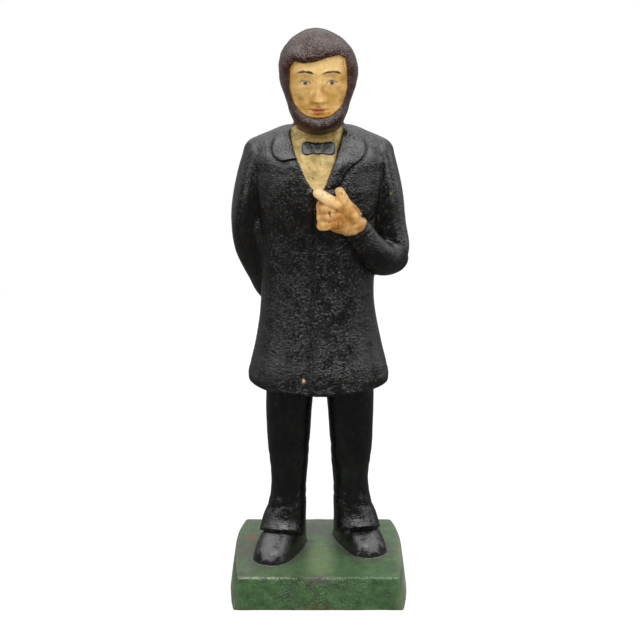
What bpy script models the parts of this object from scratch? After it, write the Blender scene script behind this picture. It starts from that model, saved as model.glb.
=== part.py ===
"""Cast iron doorstop: a standing bearded man in a long coat on a green plinth.

The doorstop is cast as a front and a back half, which part on the plane y = 0.
Each half is a shell, drafted so that it leaves the sand along Y. The legs are
cast solid and the plinth is open underneath. Two slotted countersunk screws go
in through the back half and pull the front half on by its two tapped bosses.

The figure faces -Y and +Z is up. The origin is on the floor, at the middle of
the plinth. Sizes are in millimetres and are turned to metres where a mesh is
made. Left and right are the figure's own, so its right side is at -X.
"""

import math
from dataclasses import dataclass

import bmesh
import bpy
import numpy as np

MM = 0.001

# Plinth
PLINTH_WIDTH = 105.0
PLINTH_DEPTH = 84.0
PLINTH_HEIGHT = 21.2
PLINTH_SIDE_DRAFT = 2.7
PLINTH_BULGE_FRONT = 3.0
PLINTH_BULGE_BACK = 5.0
PLINTH_TOP_DRAFT = 0.4
PLINTH_EDGE_RADIUS = 0.9

# Legs
LEG_LENGTH = 105.3
THIGH_WIDTH = 27.0
THIGH_DEPTH = 27.0
SHIN_WIDTH = 20.8
SHIN_DEPTH = 23.0
TROUSER_HEM_WIDTH = 28.6
TROUSER_HEM_DEPTH = 30.0
TROUSER_HEM_RISE = 9.0
HIP_SPREAD = 35.8
FOOT_SPREAD = 44.4
STANCE_SHIFT = 0.8

# Shoes, each turned about its ankle
SHOE_SPREAD = 41.0
SHOE_LENGTH = 44.5
SHOE_WIDTH = 21.0
SHOE_HEIGHT = 15.0
SOLE_SINK = 0.8
RIGHT_TOE_OUT = 20.0
LEFT_TOE_OUT = 21.0
RIGHT_STEP = 5.0
ANKLE_SETBACK = 9.8
ANKLE_SHARE = 0.3

# Coat
SKIRT_LENGTH = 48.0
BODY_LENGTH = 105.0
HEM_WIDTH = 81.2
HEM_DEPTH = 59.0
WAIST_WIDTH = 66.0
WAIST_DEPTH = 48.0
CHEST_WIDTH = 70.0
CHEST_DEPTH = 51.0
SHOULDER_WIDTH = 84.0
SHOULDER_DEPTH = 38.0
SHOULDER_DROP = 16.0
COLLAR_WIDTH = 33.0
COLLAR_DEPTH = 25.0
LAPEL_RAISE = 1.8
SHIRT_RECESS = 1.8
SHIRT_LENGTH = 31.5
FRONT_EDGE_STEP = 0.8
FRONT_EDGE_X = -4.0

# Sleeves and hands
SLEEVE_WIDTH = 20.5
SLEEVE_DROP = 21.0
CUFF_WIDTH = 16.0
ELBOW_SPREAD = 83.0
HAND_LENGTH = 25.0
FINGER_WIDTH = 6.0

# Head and bow tie
HEAD_HEIGHT = 55.0
HEAD_WIDTH = 43.6
HEAD_DEPTH = 46.0
HEAD_SINK = 4.0
FACE_WIDTH = 31.0
HAIR_THICKNESS = 2.6
FRINGE_RAISE = 1.3
NOSE_LENGTH = 5.4
CROWN_SHIFT = 1.2
BOW_WIDTH = 19.0
BOW_HEIGHT = 5.8
BOW_DROP = 11.5

# Casting and screws
WALL = 5.0
PARTING_GAP = 0.3
BOSS_DIAMETER = 13.0
SCREW_DIAMETER = 4.8
SCREW_LENGTH = 38.0
SCREW_POINT = 0.8
SCREW_HEAD_DIAMETER = 9.4
SCREW_HEAD_RIM = 0.4
SCREW_HEAD_SINK = 0.8
SCREW_SLOT_WIDTH = 1.2
SCREW_SLOT_DEPTH = 1.1
SCREW_SLOT_TURN = 35.0
SCREW_CLEARANCE = 0.3
UPPER_SCREW_RISE = 58.0
LOWER_SCREW_DROP = 20.0

# Fineness of the meshes
PATTERN_GRAIN = 1.0
PATTERN_TRIANGLES = 8600
RING_POINTS = 40
LIMB_POINTS = 24
FINGER_POINTS = 12
CORE_POINTS = 24
SCREW_POINTS = 24

# How far a cutter runs past what it cuts
OVERCUT = 6.0

# Heights that the figure is built up from
PLINTH_TOP = PLINTH_HEIGHT
HEM_Z = PLINTH_TOP + LEG_LENGTH
WAIST_Z = HEM_Z + SKIRT_LENGTH
COLLAR_Z = WAIST_Z + BODY_LENGTH
CHIN_Z = COLLAR_Z - HEAD_SINK
CROWN_Z = CHIN_Z + HEAD_HEIGHT
EYES_Z = (CHIN_Z + CROWN_Z) / 2

RIGHT = -1
LEFT = 1
FRONT = -1
BACK = 1


@dataclass(frozen=True)
class Section:
    """A level ring: its centre, half width, reach to the front and back, and tilt."""

    z: float
    half_width: float
    front: float
    back: float
    x: float = 0.0
    y: float = 0.0
    lean: float = 0.0
    roll: float = 0.0
    power: float = 2.3


@dataclass(frozen=True)
class Knot:
    """One point of a limb's axis, with its half thickness across and along Y."""

    x: float
    y: float
    z: float
    across: float
    through: float


# Smooth forms


def hermite(places, rows, at):
    """Values of smooth curves through rows, which stand at rising places."""
    places = np.asarray(places, float)
    rows = np.asarray(rows, float)
    slopes = np.gradient(rows, places, axis=0)
    index = np.clip(np.searchsorted(places, at) - 1, 0, len(places) - 2)
    step = (places[index + 1] - places[index])[:, None]
    t = (np.asarray(at) - places[index])[:, None] / step
    return (
        (2 * t**3 - 3 * t**2 + 1) * rows[index]
        + (t**3 - 2 * t**2 + t) * step * slopes[index]
        + (3 * t**2 - 2 * t**3) * rows[index + 1]
        + (t**3 - t**2) * step * slopes[index + 1]
    )


def turn_angles(count):
    """Angles round a circle, half a step off the axes so that no two forms share a point."""
    return (np.arange(count) + 0.5) * 2 * math.pi / count


def superellipse(power, count=RING_POINTS):
    """Unit ring, from +X turning towards +Y."""
    angle = turn_angles(count)
    cosine, sine = np.cos(angle), np.sin(angle)
    return (
        np.sign(cosine) * np.abs(cosine) ** (2 / power),
        np.sign(sine) * np.abs(sine) ** (2 / power),
    )


def skin(rings):
    """Vertices and faces of the closed surface over a row of equal rings."""
    count = len(rings[0])
    faces = []
    for level in range(len(rings) - 1):
        low, high = level * count, (level + 1) * count
        for i in range(count):
            j = (i + 1) % count
            faces.append((low + i, low + j, high + j, high + i))
    top = (len(rings) - 1) * count
    faces.append(tuple(range(count))[::-1])
    faces.append(tuple(range(top, top + count)))
    return np.vstack(rings), faces


def loft(sections, step=4.0, count=RING_POINTS):
    """Surface over level sections, smooth between them."""
    places = [s.z for s in sections]
    rows = [
        (s.half_width, s.front, s.back, s.x, s.y, s.lean, s.roll, s.power) for s in sections
    ]
    levels = max(2, int(round((places[-1] - places[0]) / step)) + 1)
    heights = np.linspace(places[0], places[-1], levels)
    rings = []
    for z, row in zip(heights, hermite(places, rows, heights)):
        half_width, front, back, x, y, lean, roll, power = row
        across, along = superellipse(power, count)
        ring_x = half_width * across
        ring_y = np.where(along < 0, front, back) * along
        tilt = lean * ring_y + roll * ring_x
        rings.append(np.column_stack((x + ring_x, y + ring_y, z + tilt)))
    return skin(rings)


def reach_at(sections, side, z):
    """How far lofted sections reach to the front or back of the parting plane at a height."""
    reaches = [[s.front if side == FRONT else s.back] for s in sections]
    return float(hermite([s.z for s in sections], reaches, np.array([z]))[0, 0])


def limb(knots, step=2.5, count=LIMB_POINTS):
    """Round-ended tube along a smooth axis through knots."""
    centres = np.array([(k.x, k.y, k.z) for k in knots])
    spans = np.linalg.norm(np.diff(centres, axis=0), axis=1)
    lengths = np.concatenate(([0], np.cumsum(spans)))
    rows = [(k.x, k.y, k.z, k.across, k.through) for k in knots]
    places = np.linspace(0, lengths[-1], max(4, int(lengths[-1] / step)) + 1)
    path = hermite(lengths, rows, places)
    tangent = np.gradient(path[:, :3], axis=0)
    tangent /= np.linalg.norm(tangent, axis=1)[:, None]
    angle = turn_angles(count)

    def ring(centre, along, across, through):
        """One ring square to the axis, through being its half thickness nearest Y."""
        depth = np.array((0.0, 1.0, 0.0)) - along[1] * along
        if np.linalg.norm(depth) < 0.2:
            depth = np.array((0.0, 0.0, 1.0)) - along[2] * along
        depth /= np.linalg.norm(depth)
        side = np.cross(depth, along)
        return (
            centre
            + np.outer(np.cos(angle) * across, side)
            + np.outer(np.sin(angle) * through, depth)
        )

    def cap(end, away):
        """Shrinking rings past one end, from its rim outwards."""
        centre, along, halves = path[end, :3], tangent[end], path[end, 3:]
        return [
            ring(centre + away * along * math.sin(a) * min(halves), along, *(halves * math.cos(a)))
            for a in np.radians((25, 50, 75))
        ]

    tube = [ring(row[:3], along, *row[3:]) for row, along in zip(path, tangent)]
    return skin(cap(0, -1)[::-1] + tube + cap(-1, 1))


def finger(points, shares=(1.0, 1.0, 0.9)):
    """A finger through three points, thinner at its tip."""
    half = FINGER_WIDTH / 2
    knots = [Knot(*point, half * share, half * share) for point, share in zip(points, shares)]
    return limb(knots, 1.5, FINGER_POINTS)


def ball(centre, radii, count=20):
    """Ellipsoid."""
    cx, cy, cz = centre
    rx, ry, rz = radii
    angle = turn_angles(count)
    rings = []
    for a in np.radians(np.linspace(-84, 84, count // 2)):
        ring_x = cx + rx * math.cos(a) * np.cos(angle)
        ring_y = cy + ry * math.cos(a) * np.sin(angle)
        rings.append(np.column_stack((ring_x, ring_y, np.full(count, cz + rz * math.sin(a)))))
    return skin(rings)


def turned(profile, y_from, z, count=SCREW_POINTS):
    """A form turned about a line along Y, over (distance along it, radius) steps."""
    angle = turn_angles(count)
    rings = [
        np.column_stack(
            (radius * np.cos(angle), np.full(count, y_from + along), z + radius * np.sin(angle))
        )
        for along, radius in profile
    ]
    return skin(rings)


# Objects and Booleans


def mesh_object(name, forms):
    """One object holding these closed surfaces, in metres."""
    verts, faces, start = [], [], 0
    for form_verts, form_faces in forms:
        verts.append(form_verts)
        faces += [tuple(start + i for i in face) for face in form_faces]
        start += len(form_verts)
    mesh = bpy.data.meshes.new(name)
    mesh.from_pydata((np.vstack(verts) * MM).tolist(), [], faces)
    shell = bmesh.new()
    shell.from_mesh(mesh)
    bmesh.ops.recalc_face_normals(shell, faces=shell.faces)
    shell.to_mesh(mesh)
    shell.free()
    obj = bpy.data.objects.new(name, mesh)
    bpy.context.scene.collection.objects.link(obj)
    return obj


def helper(obj):
    """Marks a cutter or a form that the object isn't shown with."""
    obj.hide_render = True
    obj.display_type = "WIRE"
    return obj


def applied(obj):
    """Gives obj its evaluated mesh and drops its modifiers."""
    graph = bpy.context.evaluated_depsgraph_get()
    mesh = bpy.data.meshes.new_from_object(obj.evaluated_get(graph))
    obj.modifiers.clear()
    obj.data = mesh
    return obj


def boolean(obj, operation, other):
    """Adds an exact Boolean of obj with other."""
    modifier = obj.modifiers.new(f"{operation.lower()} {other.name}", "BOOLEAN")
    modifier.operation = operation
    modifier.object = other
    modifier.solver = "EXACT"


def clear_scene():
    """Empties the scene."""
    for obj in list(bpy.data.objects):
        bpy.data.objects.remove(obj, do_unlink=True)


# Plinth


def plinth_half_width(y, z):
    """Half width of the plinth, widest at the parting plane and at the floor."""
    bulge = PLINTH_BULGE_FRONT if y < 0 else PLINTH_BULGE_BACK
    narrowing = bulge * abs(2 * y / PLINTH_DEPTH) ** 2.4
    return PLINTH_WIDTH / 2 - narrowing - PLINTH_SIDE_DRAFT * z / PLINTH_HEIGHT


def plinth_top(y):
    """Height of the plinth's top, which falls away from the parting plane."""
    return PLINTH_HEIGHT - PLINTH_TOP_DRAFT * abs(2 * y / PLINTH_DEPTH)


def plinth_block(name, inset=0.0, floor=0.0):
    """The drafted block, lofted along Y. An inset gives the hollow under it."""
    reach = PLINTH_DEPTH / 2 - inset
    rings = []
    for y in np.linspace(-reach, reach, 15):
        top = plinth_top(y) - inset
        foot = plinth_half_width(y, floor) - inset
        shoulder = plinth_half_width(y, top) - inset
        edge = [(foot, floor)]
        for a in np.radians((0, 30, 60, 90)):
            round_x = PLINTH_EDGE_RADIUS * (1 - math.cos(a))
            round_z = PLINTH_EDGE_RADIUS * (1 - math.sin(a))
            edge.append((shoulder - round_x, top - round_z))
        outline = edge + [(-x, z) for x, z in edge[::-1]]
        rings.append(np.array([(x, y, z) for x, z in outline]))
    return helper(mesh_object(name, [skin(rings)]))


# Legs and shoes


def stand(side, spread):
    """X of one leg's axis where the two legs stand this far apart."""
    return side * spread / 2 + STANCE_SHIFT


def ankle_y(side):
    """Y of the ankle. The right foot stands a step ahead of the left one."""
    return ANKLE_SETBACK + (-RIGHT_STEP if side == RIGHT else RIGHT_STEP)


def leg_form(side):
    """One trouser leg, from the break over the shoe up into the coat."""
    hip = stand(side, HIP_SPREAD)
    foot = stand(side, FOOT_SPREAD)
    ankle = (ANKLE_SETBACK + ankle_y(side)) * 0.4 - 1.0
    hem = PLINTH_TOP + TROUSER_HEM_RISE
    knee_width = (SHIN_WIDTH + THIGH_WIDTH) / 2
    knee_depth = (SHIN_DEPTH + THIGH_DEPTH) / 2
    lean, roll = -0.5, side * 0.09
    # Height, x, y, width, depth, lean and roll. The hem dips towards the heel and the outside.
    stations = [
        (hem, foot, ankle, TROUSER_HEM_WIDTH, TROUSER_HEM_DEPTH, lean, roll),
        (
            hem + 8,
            foot - side * 0.9,
            ankle - 0.4,
            TROUSER_HEM_WIDTH - 1.6,
            TROUSER_HEM_DEPTH - 2.0,
            lean * 0.7,
            roll * 0.7,
        ),
        (hem + 20, hip + side * 1.3, ankle - 1.5, SHIN_WIDTH + 1.6, SHIN_DEPTH + 1.4, -0.12, 0),
        (hem + 32, hip + side * 0.4, ankle - 2.5, SHIN_WIDTH, SHIN_DEPTH, 0, 0),
        (HEM_Z - 45, hip + side * 0.4, 2.0, knee_width, knee_depth, 0, 0),
        (HEM_Z - 14, hip, 1.0, THIGH_WIDTH, THIGH_DEPTH, 0, 0),
        (HEM_Z + 12, hip - side * 2.0, 0.0, THIGH_WIDTH + 2, THIGH_DEPTH + 2, 0, 0),
    ]
    return loft(
        [
            Section(z, width / 2, depth / 2, depth / 2, x, y, lean, roll)
            for z, x, y, width, depth, lean, roll in stations
        ]
    )


def ankle_form(side):
    """The ankle that fills the trouser leg down into the shoe."""
    centre = (stand(side, SHOE_SPREAD), ANKLE_SETBACK * 0.7, PLINTH_TOP + SHOE_HEIGHT * 0.6)
    return ball(centre, (SHOE_WIDTH * 0.5, SHOE_WIDTH * 0.55, SHOE_HEIGHT * 0.9))


# Place along the shoe from its heel, half width and height, as shares of its sizes
SHOE_SHAPE = [
    (0.00, 0.22, 0.45),
    (0.06, 0.36, 0.85),
    (0.25, 0.44, 1.15),
    (0.48, 0.47, 1.12),
    (0.64, 0.50, 0.88),
    (0.82, 0.46, 0.66),
    (0.94, 0.33, 0.50),
    (1.00, 0.15, 0.25),
]


def shoe_form(side):
    """One shoe, lofted from its heel to its toe and turned outwards about its ankle."""
    turn = math.radians(RIGHT_TOE_OUT if side == RIGHT else LEFT_TOE_OUT)
    ahead = np.array((side * math.sin(turn), -math.cos(turn)))
    across = np.array((-ahead[1], ahead[0]))
    ankle = np.array((stand(side, SHOE_SPREAD), ankle_y(side)))
    heel = ankle - ahead * ANKLE_SHARE * SHOE_LENGTH
    places = [place for place, _, _ in SHOE_SHAPE]
    halves = [(wide * SHOE_WIDTH, tall * SHOE_HEIGHT) for _, wide, tall in SHOE_SHAPE]
    stops = np.linspace(0, 1, 19)
    sideways, upward = superellipse(2.4, 28)
    rings = []
    for place, (half_width, height) in zip(stops, hermite(places, halves, stops)):
        ring_xy = heel + ahead * place * SHOE_LENGTH + np.outer(sideways * half_width, across)
        lift = np.where(upward > 0, height, 2.0) * upward
        rings.append(np.column_stack((ring_xy, PLINTH_TOP - SOLE_SINK + lift)))
    return skin(rings)


# Coat


def coat_sections():
    """The coat from its hem to the foot of the collar, widest at the parting plane."""
    shoulder_z = COLLAR_Z - SHOULDER_DROP
    # Height, width, and the shares of a depth that lie to the front and back
    rings = [
        (HEM_Z, HEM_WIDTH - 5.6, HEM_DEPTH, 0.49, 0.47),
        (HEM_Z + 2.5, HEM_WIDTH - 1.4, HEM_DEPTH, 0.51, 0.485),
        (HEM_Z + 7, HEM_WIDTH, HEM_DEPTH, 0.51, 0.485),
        (
            (HEM_Z + WAIST_Z) / 2,
            (HEM_WIDTH + WAIST_WIDTH) / 2 - 0.8,
            (HEM_DEPTH + WAIST_DEPTH) / 2,
            0.51,
            0.49,
        ),
        (WAIST_Z, WAIST_WIDTH, WAIST_DEPTH, 0.51, 0.49),
        (WAIST_Z + BODY_LENGTH * 0.45, CHEST_WIDTH, CHEST_DEPTH, 0.51, 0.49),
        (shoulder_z - 14, SHOULDER_WIDTH - 10, CHEST_DEPTH, 0.5, 0.5),
        (shoulder_z, SHOULDER_WIDTH - 3, SHOULDER_DEPTH, 0.53, 0.53),
        (shoulder_z + 6.5, SHOULDER_WIDTH - 10, SHOULDER_DEPTH, 0.46, 0.46),
        (shoulder_z + 8, SHOULDER_WIDTH - 20, SHOULDER_DEPTH, 0.42, 0.42),
        (COLLAR_Z - 5.5, (SHOULDER_WIDTH + COLLAR_WIDTH) / 2 - 10, SHOULDER_DEPTH, 0.38, 0.38),
        (COLLAR_Z, COLLAR_WIDTH - 2.5, COLLAR_DEPTH, 0.48, 0.52),
        (COLLAR_Z + 3, COLLAR_WIDTH - 6, COLLAR_DEPTH, 0.36, 0.45),
    ]
    return [
        Section(z, width / 2, depth * ahead, depth * behind)
        for z, width, depth, ahead, behind in rings
    ]


# Axis of each sleeve from shoulder to cuff: how far in from the reach of the elbow, share
# of the wrist's depth, drop below the sleeve's top, and shares of the sleeve's or, in the
# last row, the cuff's half width
RIGHT_SLEEVE_AXIS = [
    (9.5, 0.0, 0, 1.0, 1.15),
    (4.2, 0.0, 20, 1.0, 1.15),
    (2.2, 0.05, 37, 1.0, 1.15),
    (3.2, 0.18, 52, 1.0, 1.15),
    (8.8, 0.45, 67, 0.94, 1.0),
    (17.0, 0.78, 79, 0.9, 0.85),
    (28.0, 1.0, 83, 1.0, 0.9),
]
LEFT_SLEEVE_AXIS = [
    (10.0, 0.0, 0, 1.0, 1.15),
    (4.4, 0.0, 20, 1.0, 1.15),
    (2.4, 0.04, 38, 1.0, 1.1),
    (0.6, 0.16, 52, 1.0, 1.0),
    (5.0, 0.49, 55, 1.0, 0.8),
    (12.5, 0.82, 47, 0.88, 0.75),
    (20.5, 1.0, 35, 1.0, 0.8),
]


def sleeve_knots(side):
    """The axis of one sleeve. Its wrist lies on the coat's front or back."""
    axis = RIGHT_SLEEVE_AXIS if side == RIGHT else LEFT_SLEEVE_AXIS
    facing = BACK if side == RIGHT else FRONT
    top = COLLAR_Z - SLEEVE_DROP
    wrist_y = facing * (reach_at(coat_sections(), facing, top - axis[-1][2]) - 1.2)
    knots = []
    for row in axis:
        inward, depth, drop, across, through = row
        half = (CUFF_WIDTH if row is axis[-1] else SLEEVE_WIDTH) / 2
        x = side * (ELBOW_SPREAD / 2 - inward)
        knots.append(Knot(x, depth * wrist_y, top - drop, across * half, through * half))
    return knots


def sleeve_webs():
    """Iron that fills the gaps between sleeves and coat, so that the sand can part."""
    elbow = sleeve_knots(LEFT)[3]
    under_left = ball(
        (elbow.x - 3, -2, elbow.z - 6.5),
        (SLEEVE_WIDTH / 2 + 4, SLEEVE_WIDTH / 2, SLEEVE_WIDTH * 0.45),
    )
    behind_right = [
        Knot(knot.x + inward, depth, knot.z, 8, 13)
        for knot, inward, depth in zip(sleeve_knots(RIGHT)[2:5], (6.8, 7.8, 7.2), (0, 1, 4))
    ]
    return [under_left, limb(behind_right)]


# Hands, given as offsets from the wrist


def left_hand():
    """The fist that holds the coat edge: palm, three folded fingers, forefinger and thumb."""
    wrist = sleeve_knots(LEFT)[-1]
    reach = HAND_LENGTH / 25

    def at(inward, out, up):
        """A point of the hand."""
        return (wrist.x - inward * reach, wrist.y - out, wrist.z + 2.5 + up)

    forms = [
        limb(
            [
                Knot(*at(0.5, 2.0, 0), 6.0, 5.0),
                Knot(*at(8.5, 4.5, 5), 8.6, 5.2),
                Knot(*at(14, 5.5, 7.5), 7.4, 4.8),
            ]
        )
    ]
    for i in range(3):
        drop = i * FINGER_WIDTH * 0.74
        folded = [at(10.5, 8.0, 12.5 - drop), at(16.5, 8.3, 11.3 - drop), at(19, 6.0, 10.6 - drop)]
        forms.append(finger(folded, (1.0, 1.0, 1.0)))
    forms.append(finger([at(6.5, 7.5, 12), at(14.5, 9.0, 16), at(21.5, 7.0, 19.7)], (1.15, 1.1, 0.95)))
    forms.append(finger([at(0, 4.5, 3.5), at(4, 7.0, 11.5), at(8.5, 7.5, 19.5)], (1.1, 0.95, 0.8)))
    return forms


def right_hand():
    """The open hand that lies on the small of the back."""
    wrist = sleeve_knots(RIGHT)[-1]
    reach = HAND_LENGTH / 25

    def at(inward, out, up):
        """A point of the hand."""
        return (wrist.x + inward * reach, wrist.y + out, wrist.z - 0.5 + up)

    forms = [
        limb(
            [
                Knot(*at(1, 0.5, 0), 6.4, 4.6),
                Knot(*at(8, 2.5, -1.5), 8.6, 4.4),
                Knot(*at(14, 3.0, -2.5), 8.4, 4.0),
            ]
        )
    ]
    for i in range(4):
        spread = (i - 1.5) * FINGER_WIDTH * 0.82
        tip = 25.5 - abs(i - 1.6)
        straight = [at(13, 4, spread - 2.5), at(21, 4, spread - 4), at(tip, 2.5, spread - 5.5)]
        forms.append(finger(straight))
    return forms


# Head

# Height above the chin, half width, front and back, as shares of the head's sizes
HEAD_SHAPE = [
    (0.000, 0.30, 0.50, 0.36),
    (0.045, 0.52, 0.74, 0.52),
    (0.110, 0.67, 0.88, 0.64),
    (0.190, 0.75, 0.90, 0.74),
    (0.270, 0.81, 0.88, 0.84),
    (0.350, 0.88, 0.87, 0.93),
    (0.430, 0.95, 0.875, 0.99),
    (0.510, 0.99, 0.89, 1.03),
    (0.590, 1.00, 0.91, 1.04),
    (0.670, 0.985, 0.93, 1.02),
    (0.750, 0.925, 0.92, 0.95),
    (0.830, 0.795, 0.81, 0.82),
    (0.910, 0.590, 0.60, 0.61),
    (0.975, 0.29, 0.31, 0.31),
    (1.000, 0.09, 0.10, 0.10),
]


def head_sections():
    """The head with its hair and beard, as one ovoid."""
    return [
        Section(
            CHIN_Z + up * HEAD_HEIGHT,
            wide * HEAD_WIDTH / 2,
            ahead * HEAD_DEPTH / 2,
            behind * HEAD_DEPTH / 2,
            x=-CROWN_SHIFT * max(0.0, up - 0.6) / 0.4,
        )
        for up, wide, ahead, behind in HEAD_SHAPE
    ]


def neck_form():
    """The neck and the shirt collar round it."""
    half = COLLAR_WIDTH / 2
    return loft(
        [
            Section(COLLAR_Z - 14, half, COLLAR_DEPTH * 0.62, COLLAR_DEPTH * 0.45),
            Section(COLLAR_Z - 4, half - 2.2, COLLAR_DEPTH * 0.52, COLLAR_DEPTH * 0.46),
            Section(COLLAR_Z + 3, half - 3.5, COLLAR_DEPTH * 0.42, COLLAR_DEPTH * 0.48),
            Section(CHIN_Z + 16, half - 5, COLLAR_DEPTH * 0.35, COLLAR_DEPTH * 0.6),
        ]
    )


def bow_tie():
    """Two loops and a knot, lying on the shirt."""
    half = BOW_WIDTH / 2
    tall = BOW_HEIGHT / 2
    z = COLLAR_Z - BOW_DROP
    y = -reach_at(coat_sections(), FRONT, z) - 1.2
    ends = half - tall * 0.6
    loops = limb(
        [
            Knot(-ends, y + 1.0, z - 0.3, tall, 2.0),
            Knot(-half * 0.45, y, z + 0.2, tall * 0.9, 2.1),
            Knot(0, y - 0.4, z, tall * 0.62, 2.2),
            Knot(half * 0.45, y, z + 0.2, tall * 0.9, 2.1),
            Knot(ends, y + 1.0, z - 0.3, tall, 2.0),
        ],
        1.5,
        16,
    )
    return [loops, ball((0, y - 1.2, z), (tall * 0.75, 2.4, tall * 0.8), 14)]


# Relief carved on the pattern's front


def inside(x, z, outline):
    """Signed distance to a closed outline in the XZ plane, positive inside."""
    points = np.array(outline, float)
    nearest = np.full(len(x), 1e9)
    crossings = np.zeros(len(x), int)
    for (ax, az), (bx, bz) in zip(points, np.roll(points, -1, axis=0)):
        ex, ez = bx - ax, bz - az
        t = np.clip(((x - ax) * ex + (z - az) * ez) / (ex * ex + ez * ez), 0, 1)
        nearest = np.minimum(nearest, np.hypot(x - ax - t * ex, z - az - t * ez))
        spans = (az > z) != (bz > z)
        across = ax + (z - az) * ex / np.where(abs(ez) < 1e-9, 1e-9, ez)
        crossings += spans & (x < across)
    return np.where(crossings % 2 == 1, nearest, -nearest)


def rise(distance, width=1.2):
    """0 outside an outline and 1 inside it, with a smooth edge."""
    t = np.clip(distance / width + 0.5, 0, 1)
    return t * t * (3 - 2 * t)


def shirt_outline():
    """The V of shirt between the lapels."""
    top = COLLAR_WIDTH / 2 - 2
    foot = COLLAR_Z - SHIRT_LENGTH
    return [
        (-top, COLLAR_Z + 4),
        (-top + 1, COLLAR_Z - 11),
        (-8.4, foot + 10.5),
        (-3.0, foot),
        (2.2, foot),
        (7.8, foot + 13.5),
        (top - 1, COLLAR_Z - 9),
        (top, COLLAR_Z + 4),
    ]


def lapel_outline(side):
    """A rounded lapel, from the collar's side down the edge of the V."""
    top = COLLAR_WIDTH / 2
    foot = COLLAR_Z - SHIRT_LENGTH
    if side == RIGHT:
        return [
            (-top + 1, COLLAR_Z + 3),
            (-top - 4, COLLAR_Z + 1),
            (-top - 6.5, COLLAR_Z - 5),
            (-top - 9.1, COLLAR_Z - 11),
            (-top - 6.9, COLLAR_Z - 16),
            (-top - 2.0, COLLAR_Z - 18.5),
            (-top + 3.0, COLLAR_Z - 18),
            (-9.0, foot + 10.5),
            (-top + 3, COLLAR_Z - 10),
        ]
    return [
        (top - 1, COLLAR_Z + 3),
        (top + 4, COLLAR_Z + 1),
        (top + 5.0, COLLAR_Z - 5),
        (top + 9.0, COLLAR_Z - 9.5),
        (top + 10.1, COLLAR_Z - 14),
        (top + 7.2, COLLAR_Z - 18.5),
        (top + 0.1, COLLAR_Z - 22.5),
        (11.0, foot + 4.5),
        (6.0, foot + 2.5),
        (3.0, foot + 1.5),
        (8.4, foot + 13),
        (top - 3, COLLAR_Z - 9),
    ]


def carve_coat(points):
    """Sinks the shirt, raises the lapels and steps the coat's front edge."""
    x, y, z = points.T
    foot = COLLAR_Z - SHIRT_LENGTH
    deepest = reach_at(coat_sections(), FRONT, foot) + 3.5
    on_coat = (y < -6) & (y > -deepest) & (z > HEM_Z - 1)
    shirt = rise(inside(x, z, shirt_outline())) * rise(COLLAR_Z - 2.5 - z, 4.0)
    lapels = sum(rise(inside(x, z, lapel_outline(side))) for side in (RIGHT, LEFT))
    side_seam = CHEST_WIDTH / 2 - 1
    panel = rise(x - FRONT_EDGE_X, 1.4) * rise(side_seam - x, 8.0)
    panel *= rise(foot - z, 3.0) * rise(z - HEM_Z + 4, 3.0)
    sunk = SHIRT_RECESS * shirt - LAPEL_RAISE * np.clip(lapels, 0, 1) * (1 - shirt)
    sunk -= FRONT_EDGE_STEP * panel
    points[:, 1] += np.where(on_coat, sunk, 0)
    return points


@dataclass(frozen=True)
class Feature:
    """A smooth rise on the face, or a hollow where its height is negative.

    Its place and half width across are shares of the face's width. Its place
    and half height up from the eyes are shares of the height from chin to eyes.
    """

    across: float
    up: float
    wide: float
    tall: float
    height: float

    def field(self, x, z):
        """The feature's height over the face, alike on both sides."""
        face = EYES_Z - CHIN_Z
        off_x = (np.abs(x) - self.across * FACE_WIDTH) / (self.wide * FACE_WIDTH)
        off_z = (z - EYES_Z - self.up * face) / (self.tall * face)
        return self.height * np.exp(-(off_x**2) - off_z**2)


BROW = Feature(0.235, 0.20, 0.160, 0.062, 1.4)
EYE_SOCKET = Feature(0.235, 0.02, 0.130, 0.102, -2.2)
EYE_LIDS = Feature(0.235, 0.0, 0.090, 0.058, 1.4)
NOSTRIL = Feature(0.094, -0.325, 0.048, 0.055, 1.5)
UPPER_LIP = Feature(0.0, -0.495, 0.135, 0.036, 1.0)
LOWER_LIP = Feature(0.0, -0.585, 0.116, 0.040, 1.1)
MOUTH = Feature(0.0, -0.53, 0.148, 0.018, -0.7)
FEATURES = (BROW, EYE_SOCKET, EYE_LIDS, NOSTRIL, UPPER_LIP, LOWER_LIP, MOUTH)


def face_outline():
    """The edge of the hair and beard round the face, with the fringe swept to one side."""
    half = FACE_WIDTH / 2
    low = CHIN_Z + HEAD_HEIGHT * 0.165
    points = []
    for a in np.radians(np.linspace(-180, 0, 13)):
        across = math.copysign(abs(math.cos(a)) ** 0.87, math.cos(a))
        points.append((half * across, EYES_Z - (EYES_Z - low) * abs(math.sin(a)) ** 0.87))
    fringe = [(0.97, 9), (0.86, 14.5), (0.3, 13.5), (-0.35, 11), (-0.85, 12.5), (-0.97, 8)]
    return points + [(half * share, EYES_Z + up) for share, up in fringe]


def nose_form(x, z):
    """The nose, standing out further towards its tip."""
    root = EYES_Z + 5
    tip = EYES_Z - (EYES_Z - CHIN_Z) * 0.36
    down = np.clip((root - z) / (root - tip), 0, 1)
    ridge = np.exp(-((x / (1.9 + 1.2 * down)) ** 2))
    length = rise(root - z, 4) * rise(z - tip + 0.6, 2.0)
    return (1.0 + (NOSE_LENGTH - 1.0) * down**1.4) * ridge * length


def carve_head(points):
    """Sinks the face inside the hair, and models it calm and even."""
    x, y, z = points.T
    edge = inside(x, z, face_outline())
    face = rise(edge, 1.6)
    fringe = np.exp(-((edge / 3.2) ** 2)) * (1 - face) * rise(z - EYES_Z - 6, 6)
    features = nose_form(x, z) + sum(feature.field(x, z) for feature in FEATURES)
    outward = FRINGE_RAISE * fringe + (features - HAIR_THICKNESS) * face
    ahead = (y < -5) & (z > CHIN_Z + 4) & (z < CROWN_Z - 4)
    points[:, 1] -= np.where(ahead, outward, 0)
    return points


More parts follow.
